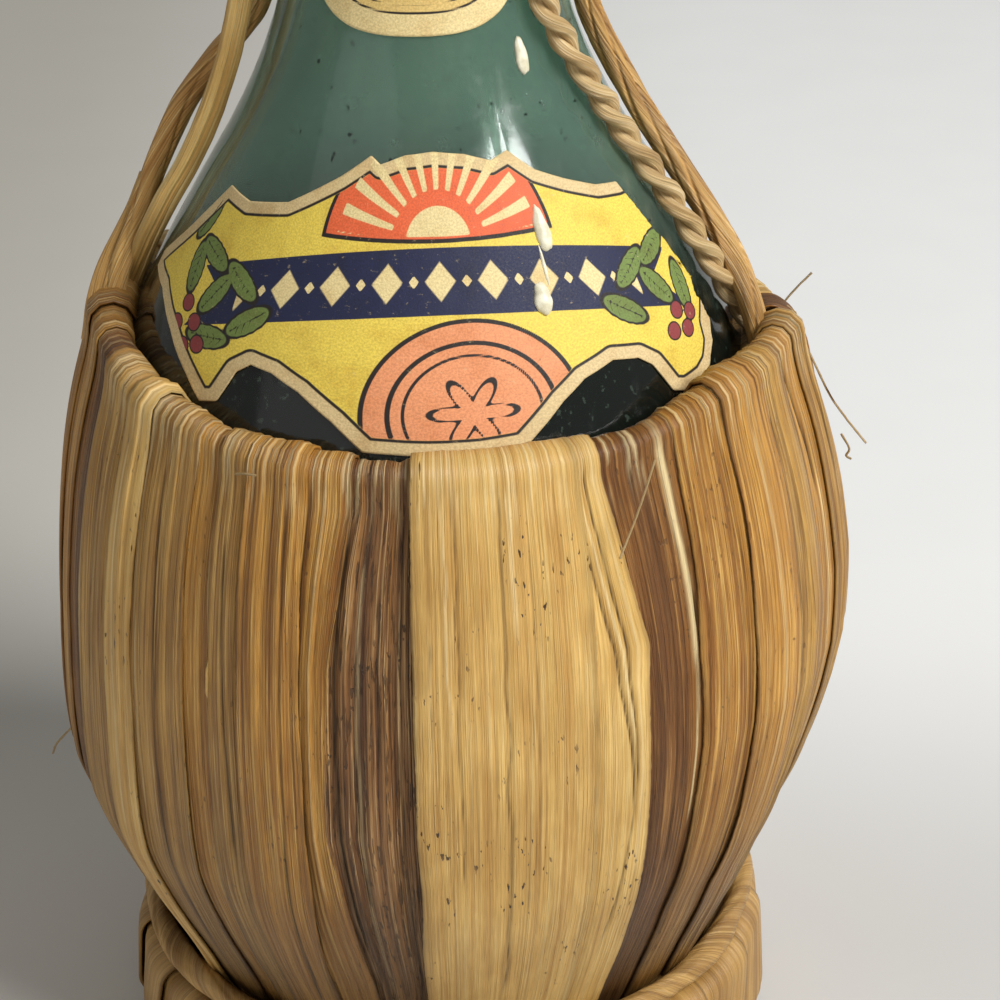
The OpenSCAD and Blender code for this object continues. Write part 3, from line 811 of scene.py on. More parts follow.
# What sets some strips apart: creases as (place, drift, height, width), lifted edges as (side, from, to,
# lift), edges moved by so many degrees at a height, brown as (from, to, most) across, a painted shade on one
# side, and lines as ((height, place across)..., width, how dark as painted shade, or below 0 how pale as
# painted highlight)
stripTraits = {
    "straw_strip_01": {"lines": [(((122, 0.5), (70, 0.6), (30, 0.5)), 0.3, 0.6),
                                 (((112, -0.2), (80, -0.3)), 0.2, 0.8)]},
    "straw_strip_02": {"creases": [(0.2, 0.3, 0.3, 0.5)], "lines": [(((118, -0.4), (60, -0.2)), 0.25, -0.6)]},
    "straw_strip_03": {"ribs": 0.6, "creases": [(0.3, 0.4, -0.3, 0.35)],
                       "lines": [(((118, 0.1), (40, 0.2)), 0.2, 0.6),
                                 (((120, -0.5), (66, -0.4)), 0.18, -0.5)]},
    "straw_strip_05": {"lines": [(((112, -0.4), (64, -0.2)), 0.22, 0.8),
                                 (((122, 0.3), (84, 0.5)), 0.18, -0.6)]},
    "straw_strip_06": {"ribs": 0.7, "ribDepth": 0.22, "lines": [(((120, 0.5), (34, 0.3)), 0.2, 0.6)]},
    "straw_strip_07": {"ribs": 0.55, "ribDepth": 0.3, "creases": [(-0.7, 0.3, -0.35, 0.5)],
                       "right": [(40, 0), (70, -3.6), (98, -3.2), (112, -1.6), (121, 0)],
                       "lines": [(((122, -0.3), (50, -0.4)), 0.25, 0.7), (((122, 0.2), (60, 0.3)), 0.2, -0.4)]},
    "straw_strip_08": {"ribs": 0.8, "ribDepth": 0.34, "lifts": [(-1, 60, 120, 0.7)],
                       "left": [(40, 0), (70, -3.8), (98, -3.4), (112, -1.8), (121, 0)],
                       "brown": (0.5, -0.9, 0.25),
                       "lines": [(((116, -0.6), (50, -0.5)), 0.3, 0.9), (((108, 0.1), (84, 0.15)), 0.2, 0.9),
                                 (((118, 0.5), (34, 0.45)), 0.2, 0.7), (((112, -0.2), (36, -0.2)), 0.18, -0.35),
                                 (((112, 0.9), (66, 0.95)), 0.3, -0.4)]},
    "straw_strip_09": {"ribs": 0.4, "ribDepth": 0.12,
                       "lines": [(((122, -0.52), (64, -0.5)), 0.16, 0.55),
                                 (((122, -0.82), (90, -0.8)), 0.13, 0.4),
                                 (((122, 0), (40, 0.02)), 0.2, 0.55), (((116, 0.32), (60, 0.3)), 0.14, 0.35),
                                 (((121, -0.62), (88, -0.6)), 0.16, -0.6),
                                 (((121, 0.12), (104, 0.14)), 0.3, -0.5)]},
    "straw_strip_10": {"ribDepth": 0.16,
                       "right": [(60, 0), (92, -1), (98, -0.6), (110, -2.6), (123, -4.6), (130, -4.6)],
                       "lines": [(((123, -0.5), (98, 0.05), (82, 0.45), (72, 0.55)), 0.2, 1.0),
                                 (((123, 0.1), (98, 0.4), (84, 0.6), (76, 0.62)), 0.18, 1.0),
                                 (((123, -0.2), (100, 0.22), (84, 0.52)), 0.2, -0.8),
                                 (((123, 0.55), (98, 0.7), (60, 0.75)), 0.2, -0.5),
                                 (((72, 0.55), (46, 0.2)), 0.2, 0.6)]},
    "straw_strip_11": {"ribs": 0.6, "ribDepth": 0.2, "brown": (0.55, -0.75, 0.62),
                       "left": [(60, 0), (98, -1.5), (110, -3), (123, -5), (130, -5)],
                       "lines": [(((124, 0.42), (104, 0.5), (92, 0.52)), 0.42, -1.0),
                                 (((92, 0.52), (66, 0.5)), 0.16, -0.9), (((124, 0.55), (92, 0.62)), 0.16, 0.7),
                                 (((116, 0), (60, 0.05)), 0.2, 0.5)]},
    "straw_strip_12": {"creases": [(-0.75, 0.4, 0.4, 0.4)], "lines": [(((122, 0.3), (50, 0.4)), 0.2, 0.5)]},
    "straw_strip_13": {"lines": [(((118, 0), (60, 0.1)), 0.2, -0.5)]},
    "straw_strip_14": {"creases": [(0.3, 0.3, 0.35, 0.4)], "lines": [(((118, -0.3), (50, -0.2)), 0.2, 0.7)]},
    "straw_strip_15": {"ribs": 0.4, "lines": [(((126, -0.5), (118, -0.2), (112, -0.1), (106, -0.1)), 0.38, 1.2),
                                              (((104, 0), (50, 0.1)), 0.2, -0.6)]},
    "straw_strip_16": {"ribs": 0.5, "creases": [(-0.4, 0.5, 0.4, 0.4), (0.3, 0.5, -0.4, 0.3)],
                       "lines": [(((126, -0.6), (100, -0.4)), 0.25, 0.9), (((100, 0.3), (88, 0.3)), 0.5, 1.2)]},
    "straw_strip_17": {"lines": [(((112, -0.4), (70, -0.3)), 0.3, 0.8)]},
}
for node in sorted(n for n in frame["nodes"] if n.startswith("straw_strip")):
    makeStrip(node, stripTraits.get(node, {}))
print("straw strips folded over the rim")


# Small rings of straw: the hoop in the rim, the foot's core and the gather under the flask
def makeRing(node, name, outline, steps, look):
    piece = addGrid(name, steps, len(outline))
    rim = sum((b - a).length for a, b in zip(outline, outline[1:] + outline[:1]))

    def place(x, y):
        spot = outline[round((y + 1) / 2 * len(outline)) % len(outline)]
        here = roundPoint(180 * x, spot.x, spot.y)
        return leaned(here * (1 + 0.004 * wander(here.x * 0.4, here.y * 0.4, here.z * 0.9)))

    shapeGrid(piece, place, lambda x, y: (rim * (y + 1) / 2, x * math.pi * outline[0].x))
    closeSeams(piece)
    return finishPiece(piece, straw[look], [node])


hoopOutline = [hoopAt + hoopR * Vector((math.cos(a / 16 * math.pi), math.sin(a / 16 * math.pi)))
               for a in range(32)]
makeRing("rim_hoop", "rimHoop", hoopOutline, 160, "straw_tan")

foot = {
    "corners": [(39.8, 5.2, 3), (47.6, 5.8, 3.85), (48.5, 17.4, 2.1)],
    "turns": 22,
    "thick": 0.8,
    "lap": 1.12,
    "base": 0.15,
    "crown": 0.3,
    "leaf": 0.55,
    "sunk": 0.25,
    "columns": 18,
    "rowsPerTurn": 96,
}


def cornerTurn(i):
    (ar, az, rounding), (br, bz, nextRounding) = foot["corners"][i], foot["corners"][(i + 1) % 3]
    return math.atan2(bz - az, br - ar) - math.acos((rounding - nextRounding) / math.hypot(br - ar, bz - az))


def footOutline(steps):  # the core's outline, with the direction outwards at each point
    made = []
    for i, (radius, height, rounding) in enumerate(foot["corners"]):
        first, last = cornerTurn((i + 2) % 3), cornerTurn(i)
        sweep = (last - first) % (2 * math.pi)
        for s in range(steps + 1):
            out = Vector((math.cos(first + sweep * s / steps), math.sin(first + sweep * s / steps)))
            made.append((Vector((radius, height)) + rounding * out, out))
    return made


makeRing("foot_core", "footCore", [spot for spot, out in footOutline(8)], 160, "straw_tan")

gatherOutline = [Vector(spot) for spot in ((0.02, 4), (11, 4.2), (14.5, 5), (15.5, 5.9), (14.8, 6.7),
                                           (12.2, 6.9), (11.8, 8), (11, 9.6), (0.02, 10.4))]
makeRing("base_gather", "baseGather", gatherOutline, 96, "foot_straw")


# Foot: one wide ribbon of straw wound round the core, each turn lapping over the next
ribbonLine = footOutline(10)
ribbonReach = [0.0]
for (a, _), (b, _) in zip(ribbonLine, ribbonLine[1:] + ribbonLine[:1]):
    ribbonReach.append(ribbonReach[-1] + (b - a).length)


def footStation(turns):  # where the core's face is after so many turns round it, and its direction outwards
    reach = turns % 1 * ribbonReach[-1]
    k = 0
    while ribbonReach[k + 1] < reach:
        k += 1
    part = (reach - ribbonReach[k]) / max(ribbonReach[k + 1] - ribbonReach[k], 1e-9)
    (a, outA), (b, outB) = ribbonLine[k], ribbonLine[(k + 1) % len(ribbonLine)]
    return a.lerp(b, part), outA.lerp(outB, part).normalized()


def makeFootRibbon():
    rows = foot["turns"] * foot["rowsPerTurn"]
    piece = addGrid("footRibbon", foot["columns"], rows)
    turnAngle = 360 / foot["turns"]
    half = foot["lap"] * turnAngle / 2
    rise = foot["lap"] * (foot["thick"] + foot["leaf"])

    def wayAt(y):
        return (y + 1) / 2 * foot["turns"]

    def place(x, y):
        way = wayAt(y)
        spot, out = footStation(way)
        turn = int(way)
        edge = 1 + 0.05 * wander(way * 3, turn, 2.5 * x)
        height = foot["base"] + rise * (x + 1) / 2 + foot["crown"] * (1 - x * x) + foot["thick"]
        height += 0.16 * (1 - x ** 4) * wander(x * 5.5, way * 1.1, 7)
        height += 0.10 * (1 - x ** 4) * wander(x * 15, way * 0.7, 3)
        point = spot + (height - foot["sunk"]) * out
        sway = 1.3 * wander(way * 2.1, 4, 0)
        return roundPoint(way * turnAngle + (x * edge + 0.08 * sway) * half, point.x, max(point.y, 0.02))

    def spread(x, y):
        return x * 7.6 + int(wayAt(y)) * 23.7, wayAt(y) * ribbonReach[-1]

    # painted shade: darker at the ribbon's edges where the turns lap, near the floor and on its inward face
    # under the basket
    def paintedShade(x, y):
        spot, out = footStation(wayAt(y))
        low = 0.3 * smooth(8, 1, spot.y)
        groove = 0.5 * smooth(-0.2, -1, out.x) * smooth(12, 20, spot.y)
        return min(0.6 * smooth(0.8, 1, -x) + 0.35 * smooth(0.9, 1, x) + low + groove, 1)

    shapeGrid(piece, place, spread, {"paintedShade": paintedShade})
    applyModifier(piece, "SOLIDIFY", thickness=foot["leaf"] * mm, offset=-1)
    return finishPiece(piece, straw["foot_straw"], ["foot_wrap"])


makeFootRibbon()
print("foot ribbon wound")


# Tubes along a line, with a section that can be lobed, creased and turned
def sweepTube(name, line, outward, radius, sides, lean=0.0):
    piece = addGrid(name, sides, len(line) - 1)
    reach = [0.0]
    for a, b in zip(line, line[1:]):
        reach.append(reach[-1] + (b - a).length)
    frames = lineFrames(line, outward)

    def place(x, y):
        i = round((y + 1) / 2 * (len(line) - 1))
        spot, out, side = frames[i]
        size = radius(math.pi * x, reach[i])
        return spot + size * (math.cos(math.pi * x) * out + math.sin(math.pi * x) * side)

    def spread(x, y):
        i = round((y + 1) / 2 * (len(line) - 1))
        return x * math.pi * 1.9 - lean * reach[i] + 3.1 * len(name), reach[i]

    shapeGrid(piece, place, spread)
    closeSeams(piece)
    bpy.ops.object.mode_set(mode="EDIT")
    bpy.ops.mesh.select_all(action="SELECT")
    bpy.ops.mesh.fill_holes(sides=0)
    bpy.ops.object.mode_set(mode="OBJECT")
    return piece


def joinPieces(pieces):
    deselectAll()
    for piece in pieces:
        piece.select_set(True)
    bpy.context.view_layer.objects.active = pieces[0]
    bpy.ops.object.join()
    return pieces[0]


# Stays: routes as [angle round from the front, gap to the glass, height, scale]; creases and folds as
# (angle round the section, depth, width)
stays = {
    "stay_left_flat": {
        "width": 3.6, "half": 1.8, "sides": 56, "square": 2.6, "thin": 1.32, "turn": 0.5, "pitch": 38,
        "creases": [(1.25, 0.30, 0.13), (1.9, 0.22, 0.1), (-1.2, 0.25, 0.14)],
        "route": [(-96, 0.4, 123.4, 0.9), (-95, 0.5, 128, 1), (-92.5, 0.6, 134, 1), (-89.5, 1, 139.5, 1),
                  (-87, 1.3, 145, 1), (-86, 1.2, 151, 1), (-85, 1.9, 158, 1), (-84, 2.7, 165, 1),
                  (-83, 3.5, 173, 1), (-82, 3.6, 183, 1), (-82, 2.6, 200, 1), (-81, 1.2, 224, 0.96),
                  (-81, 0.4, 243, 0.94), (-81, 0.4, 272, 0.94)]},
    "stay_left_twisted": {
        "width": 3.6, "half": 1.75, "sides": 60, "pitch": 74, "lobes": 2, "lobeDepth": 0.07,
        "creases": [(0.4, 0.35, 0.13), (1.5, 0.3, 0.1), (-1.1, 0.3, 0.12), (2.7, 0.35, 0.16)],
        "route": [(-85, 1, 123.6, 0.9), (-86.5, 1.9, 128, 1), (-90.5, 3, 134, 1), (-94, 3.6, 139.5, 1),
                  (-95.5, 4.7, 145, 1), (-96.5, 5.7, 151, 1), (-97.5, 6.2, 158, 1), (-97, 4.4, 165, 1),
                  (-96, 1.1, 172.5, 1), (-97, 0.7, 183, 1), (-100, 0.6, 203, 1), (-100, 0.5, 226, 0.97),
                  (-99, 0.4, 243, 0.94), (-99, 0.4, 272, 0.94)]},
    "stay_right_rope": {
        "width": 4.0, "sides": 28, "pitch": 11.8, "apart": 0.94, "ply": 1.06, "plyPath": 1.12,
        "route": [(83.5, 0.5, 123.8, 1), (81.5, 0.5, 128, 1), (77.5, 0.5, 134, 1), (75, 0.5, 141, 1),
                  (72.5, 0.5, 149, 1), (68.5, 0.5, 157, 1), (62.5, 0.5, 165, 1), (54, 0.5, 173, 1),
                  (47, 0.5, 182, 1), (53, 0.5, 199, 1), (70, 0.5, 218, 0.95), (79, 0.4, 235, 0.88),
                  (81, 0.4, 247, 0.85), (81, 0.4, 272, 0.85)]},
    "stay_right_twisted": {
        "width": 3.9, "half": 1.9, "sides": 64, "pitch": 66, "lobes": 3, "lobeDepth": 0.05,
        "creases": [(0.2, 0.4, 0.12), (1.2, 0.25, 0.08), (2.2, 0.45, 0.14), (-0.9, 0.3, 0.1),
                    (-2.0, 0.35, 0.12)],
        "route": [(75, 1.8, 122.6, 0.85), (75.5, 3, 128, 0.92), (77.5, 3.4, 134, 1), (81, 2.9, 140, 1),
                  (84, 2.1, 146, 1), (86.5, 1.7, 152, 1), (88.5, 1.2, 158, 1), (90, 0.8, 165, 1),
                  (91.5, 0.5, 173, 0.95), (93, 0.4, 183, 0.9), (95, 0.4, 201, 0.88), (97, 0.4, 220, 0.87),
                  (99, 0.4, 272, 0.87)]},
}
looseStrand = {"below": 147, "apart": 1.5, "spread": 0.9, "spreadAt": (146, 130), "behind": 0.8,
               "thick": 1.25, "taper": 0.75, "taperAt": (4, 26), "sides": 28}


def stayLine(node, step=0.45):
    stay = stays[node]
    route = curveThrough(stay["route"], 24)
    spots = [Vector((*roundPoint(angle, glassRadius(height) + gap + size * stay["width"] / 2, height), size))
             for angle, gap, height, size in route]
    length = sum((b - a).length for a, b in zip(spots, spots[1:]))
    spots, _ = evenly(spots, round(length / step))
    line = [spot.xyz for spot in spots]
    return line, outwards(line), [spot.w for spot in spots]


def sizeAt(sizes, reach, step):
    return sizes[min(int(reach / step), len(sizes) - 1)]


def makeFlatStay():
    line, outward, _ = stayLine("stay_left_flat")
    stay = stays["stay_left_flat"]
    power = stay["square"]

    def radius(a, reach):
        a = a - stay["turn"] * math.sin(reach / stay["pitch"])
        squared = abs(math.cos(a)) ** power + abs(math.sin(a) * stay["thin"]) ** power
        wide = stay["half"] / squared ** (1 / power)
        folds = sum(deep * bell(a - at, wide) for at, deep, wide in stay["creases"])
        return wide - folds + 0.14 * wander(math.cos(a) * 1.5, math.sin(a) * 1.5, reach / 9)

    piece = sweepTube("stayLeftFlat", line, outward, radius, stay["sides"])
    return finishPiece(piece, straw["stay_straw"], ["stay_left_flat"])


def twistRadius(stay):
    def radius(a, reach):
        turned = a + 2 * math.pi * reach / stay["pitch"]
        size = stay["half"] * (1 + stay["lobeDepth"] * math.cos(stay["lobes"] * turned))
        for at, deep, wide in stay["creases"]:
            away = (turned - at + math.pi) % (2 * math.pi) - math.pi
            size -= deep * bell(away, wide)
        return size + 0.13 * wander(math.cos(turned) * 1.7, math.sin(turned) * 1.7, reach / 7)

    return radius


def makeTwistedStays():
    line, outward, _ = stayLine("stay_left_twisted")
    stay = stays["stay_left_twisted"]
    main = sweepTube("stayLeftTwisted", line, outward, twistRadius(stay), stay["sides"], 0.15)
    loose = looseStrand
    branch = [spot + (loose["apart"] + loose["spread"] * smooth(*loose["spreadAt"], spot.z)) * out
              + Vector((0, loose["behind"], 0))
              for spot, out in zip(line, outward) if spot.z < loose["below"]]
    side = sweepTube("looseStrand", branch, outward[:len(branch)], lambda a, reach: (
        (loose["thick"] - loose["taper"] * smooth(*loose["taperAt"], reach)) * (1 + 0.2 * math.cos(2 * a))
        + 0.1 * wander(math.cos(a), math.sin(a), reach / 4)), loose["sides"])
    piece = joinPieces([main, side])
    finishPiece(piece, straw["stay_brown"], ["stay_left_twisted"])

    line, outward, sizes = stayLine("stay_right_twisted")
    stay = stays["stay_right_twisted"]
    plain = twistRadius(stay)
    step = (line[1] - line[0]).length
    piece = sweepTube("stayRightTwisted", line, outward, lambda a, reach: (
        plain(a, -reach) * sizeAt(sizes, reach, step)), stay["sides"], -0.15)
    finishPiece(piece, straw["stay_tan"], ["stay_right_twisted"])


def makeRope():
    line, outward, sizes = stayLine("stay_right_rope", 0.3)
    rope = stays["stay_right_rope"]
    step = (line[1] - line[0]).length
    frames = lineFrames(line, outward)
    plies = []
    for ply in (0, 1):
        path, away = [], []
        for i, (spot, out, side) in enumerate(frames):
            turn = ply * math.pi - 2 * math.pi * i * step / rope["pitch"] + 0.4 * wander(i * step / 9, 0, 5)
            reach = math.cos(turn) * out + math.sin(turn) * side
            path.append(spot + rope["apart"] * sizes[i] * reach)
            away.append(reach)
        plies.append(sweepTube("stayRightRope" if ply == 0 else "secondPly", path, away, lambda a, reach: (
            rope["ply"] * sizeAt(sizes, reach, step * rope["plyPath"])
            * (1 + 0.05 * math.cos(3 * a + reach / 2) + 0.07 * wander(a * 2, reach / 3, ply * 9))),
            rope["sides"], 0.5))
    return finishPiece(joinPieces(plies), straw["stay_pale"], ["stay_right_rope"])


makeFlatStay()
makeTwistedStays()
makeRope()
print("stays twisted")


# Cord wound round the neck over the stays, further out where it passes over them
winding = {"width": 2.8, "start": 249, "step": 3.35, "turns": 6, "gap": 0.4, "out": 3.8, "over": (17, 58),
           "perTurn": 60, "sides": 24, "twist": 2.4}


def makeWinding():
    line = []
    near, far = winding["over"]
    for k in range(winding["turns"] * winding["perTurn"] + 1):
        angle = 180 + 360 / winding["perTurn"] * k
        away = abs((angle + 540) % 180 - 90)
        lobe = 0.5 + 0.5 * math.cos(math.pi * min(max((away - near) / (far - near), 0), 1))
        height = winding["start"] + winding["step"] * k / winding["perTurn"]
        line.append(roundPoint(angle, glassRadius(height) + winding["gap"] + winding["width"] / 2
                               + winding["out"] * lobe, height))
    piece = sweepTube("neckWinding", line, outwards(line), lambda a, reach: (
        winding["width"] / 2 * (0.94 + 0.06 * math.cos(2 * (a - reach / winding["twist"]))
                                + 0.04 * wander(a * 2, reach / 2, 4))), winding["sides"], 1.4)
    return finishPiece(piece, straw["stay_tan"], ["neck_winding"])


makeWinding()

# Twisted band in the groove between the basket and the foot
waist = {"sway": 0.3, "twist": 8, "sides": 40}


def makeWaistBand():
    low, high = (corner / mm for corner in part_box("waist_band"))
    band = (high.z - low.z) / 2
    ring = high.x - band
    line = [roundPoint(a, ring + waist["sway"] * wander(a / 20, 2, 0),
                       (low.z + high.z) / 2 + waist["sway"] * wander(a / 24, 5, 0)) for a in range(-180, 181)]

    def radius(a, reach):
        turned = a - reach / waist["twist"]
        return band * (0.92 + 0.12 * math.cos(2 * turned) - 0.12 * bell(math.sin(turned), 0.12)
                       + 0.06 * wander(a * 2, reach / 4, 8))

    piece = sweepTube("waistBand", line, outwards(line), radius, waist["sides"], 0.9)
    return finishPiece(piece, straw["foot_straw"], ["waist_band"])


makeWaistBand()
print("neck wound and groove filled")


# Labels: paper with aged print; the print is laid out in mm on the paper, across and up from its lower edge
def pathUp():  # how far up the glass each height lies, measured on its surface
    side = [Vector(spot) for spot in glassOutside if spot[1] > 115]
    made, reach = [], 0.0
    for a, b in zip(side, side[1:]):
        made.append((a.y, reach))
        reach += (b - a).length
    return made


surfaceReach = pathUp()


def reachUp(height, start):
    return along(surfaceReach, height) - along(surfaceReach, start)


def makePaperAge():
    tree, given, made = newGroup(
        "paperAge", {"Print": (0.8, 0.7, 0.3, 1), "Wear": 0.5},
        {"Color": "NodeSocketColor", "Roughness": "NodeSocketFloat", "Height": "NodeSocketFloat"})
    spot = addNode(tree, "ShaderNodeUVMap", uv_map="UVMap").outputs[0]
    fibre = speckle(tree, spot, (3.2, 3.2, 1), 4, 0.7)
    clouds = speckle(tree, spot, (0.16, 0.16, 1), 4, 0.6, (5, 3, 0))
    dots = speckle(tree, spot, (1.7, 1.7, 1), 2, 0.6, (31, 7, 0))
    scuffs = speckle(tree, spot, (0.7, 0.9, 1), 5, 0.75, (13, 9, 0))
    grained = tint(tree, fade(tree, fibre, 0.35, 0.65),
                   timesColor(tree, given["Print"], (0.80, 0.77, 0.72, 1)),
                   timesColor(tree, given["Print"], (1.1, 1.09, 1.06, 1)))
    browned = tint(tree, fade(tree, clouds, 0.46, 0.74, 0.0, 0.5), grained,
                   timesColor(tree, grained, (0.72, 0.56, 0.36, 1)))
    rubbed = tint(tree, sums(tree, "MULTIPLY", fade(tree, scuffs, 0.60, 0.72, 0.0, 0.75), given["Wear"]),
                  browned, seen(222, 200, 150))
    spotted = tint(tree, fade(tree, dots, 0.70, 0.76, 0.0, 0.6), rubbed, seen(120, 84, 46))
    tree.links.new(spotted, made["Color"])
    tree.links.new(fade(tree, fibre, 0.3, 0.7, 0.55, 0.75), made["Roughness"])
    tree.links.new(sums(tree, "ADD", fibre, sums(tree, "MULTIPLY", scuffs, 0.6)), made["Height"])
    return tree


paperAge = makePaperAge()
inks = {
    "paper": seen(214, 190, 140),
    "line": seen(30, 22, 18),
    "yellow": seen(230, 204, 84),
    "red": seen(226, 102, 58),
    "navy": seen(24, 30, 66),
    "salmon": seen(230, 152, 106),
    "cream": seen(228, 208, 152),
    "leaf": seen(112, 132, 66),
    "berry": seen(140, 58, 60),
    "gold": seen(220, 190, 118),
}


paper = {"thick": 0.25, "gap": 0.1, "wear": 0.55, "bump": 0.35, "relief": 0.12}


def printLabel(piece, place, flat, ground, prints):  # prints: mark, ink, how soft its edge is, what bounds it
    def within(shapes):
        return lambda x, y: max(shape(*flat(x, y)) for shape in shapes)

    shapeGrid(piece, place, flat, {name: within(shapes) for name, ink, soft, shapes in prints})
    applyModifier(piece, "SOLIDIFY", thickness=paper["thick"] * mm, offset=-1)
    made, tree, shader = newMaterial(piece.name)
    color = inks[ground]
    for name, ink, soft, shapes in prints:
        color = tint(tree, fade(tree, mark(tree, name), soft, -soft), color, inks[ink])
    aged = useGroup(tree, paperAge, Print=color, Wear=paper["wear"])
    tree.links.new(aged["Color"], shader.inputs["Base Color"])
    tree.links.new(aged["Roughness"], shader.inputs["Roughness"])
    addBump(tree, shader, aged["Height"], paper["bump"], paper["relief"])
    return made


frontLabel = {
    "centre": 3.5,
    "scale": 0.62,
    "low": 124.7,
    "columns": 420,
    "rows": 110,
    "border": 1.7,
    "line": 0.42,
    "top": [(-80, 139), (-70, 145.2), (-60, 152.4), (-50, 151.8), (-37, 153.2), (-23, 157.4), (-15, 160.2),
            (-12, 159.2), (-5, 160.4), (3, 160.8), (12, 160.3), (19.5, 159.2), (25, 160.1), (32, 157.2),
            (40, 155.3), (50, 153.2), (58, 152.4), (62, 147), (66, 142), (68, 138)],
    "bottom": [(-80, 137), (-70, 136.2), (-60, 133), (-50, 129), (-45, 126.8), (-41, 127.6), (-38, 132),
               (-35, 133.4), (-30, 133), (-24, 131.4), (-17, 128.4), (-11, 125), (0, 124.7), (9, 124.7),
               (17, 125), (25, 129.6), (30, 131.7), (37, 132.9), (43, 132), (46, 130.4), (49, 126.2),
               (52, 125.4), (58, 125.4), (62, 126.3), (66, 128.6), (68, 131)],
    "unwornTop": [(67, 152.2), (77, 145.2), (87, 139)],
    "unwornBottom": [(67, 131), (77, 136.2), (87, 137)],
    "wornFrom": (50, 66),
    "sun": (0, 29, 17.5),
    "ray": {"apart": 15, "half": 0.055, "from": 7, "to": 15.4, "core": 4.8, "above": 0.6},
    "belt": (23.5, 4.6, 35, 0.006),
    "lozenge": {"apart": 7.2, "large": (2.1, 2.7), "small": (0.7, 0.9), "clear": 6},
    "roundel": (3, 5.5, 12.5),
    "rings": [(9.5, 0.3), (7.8, 0.2)],
    "petals": {"count": 6, "at": 3.4, "swing": 1.5, "steep": 1.6, "line": 0.26},
    "leaf": (3.6, 1.5),
    "berry": 1.15,
    "outline": 0.6,
    "leaves": [(-26, 15, 40), (-29, 20, 150), (-33, 17, 60), (-36, 22, 160), (-39, 19, 100), (-41, 26, 70),
               (-32, 11, 10), (25, 15, 140), (28.5, 20, 30), (32, 16, 120), (34.5, 21, 20), (37, 14, 80)],
    "berries": [(-35, 12), (-37.6, 14), (-33.2, 9.4), (-38.5, 10.6), (-35.8, 8.2), (33.8, 11.4), (36.4, 10),
                (34.6, 8.2), (31.8, 9)],
}


def flatSpot(angle, height):
    across = (angle - frontLabel["centre"]) * frontLabel["scale"]
    return Vector((across, reachUp(height, frontLabel["low"]), 0))


def printEdge():  # the printed outline before its right end wore off, as a search tree
    top = frontLabel["top"][:-3] + frontLabel["unwornTop"]
    bottom = frontLabel["bottom"][:-1] + frontLabel["unwornBottom"]
    round_ = [flatSpot(*spot) for spot in top + bottom[::-1] + top[:1]]
    dots = []
    for a, b in zip(round_, round_[1:]):
        steps = max(2, int((b - a).length / 0.15))
        dots += [a.lerp(b, s / steps) for s in range(steps)]
    tree = kdtree.KDTree(len(dots))
    for i, dot in enumerate(dots):
        tree.insert(dot, i)
    tree.balance()
    return tree


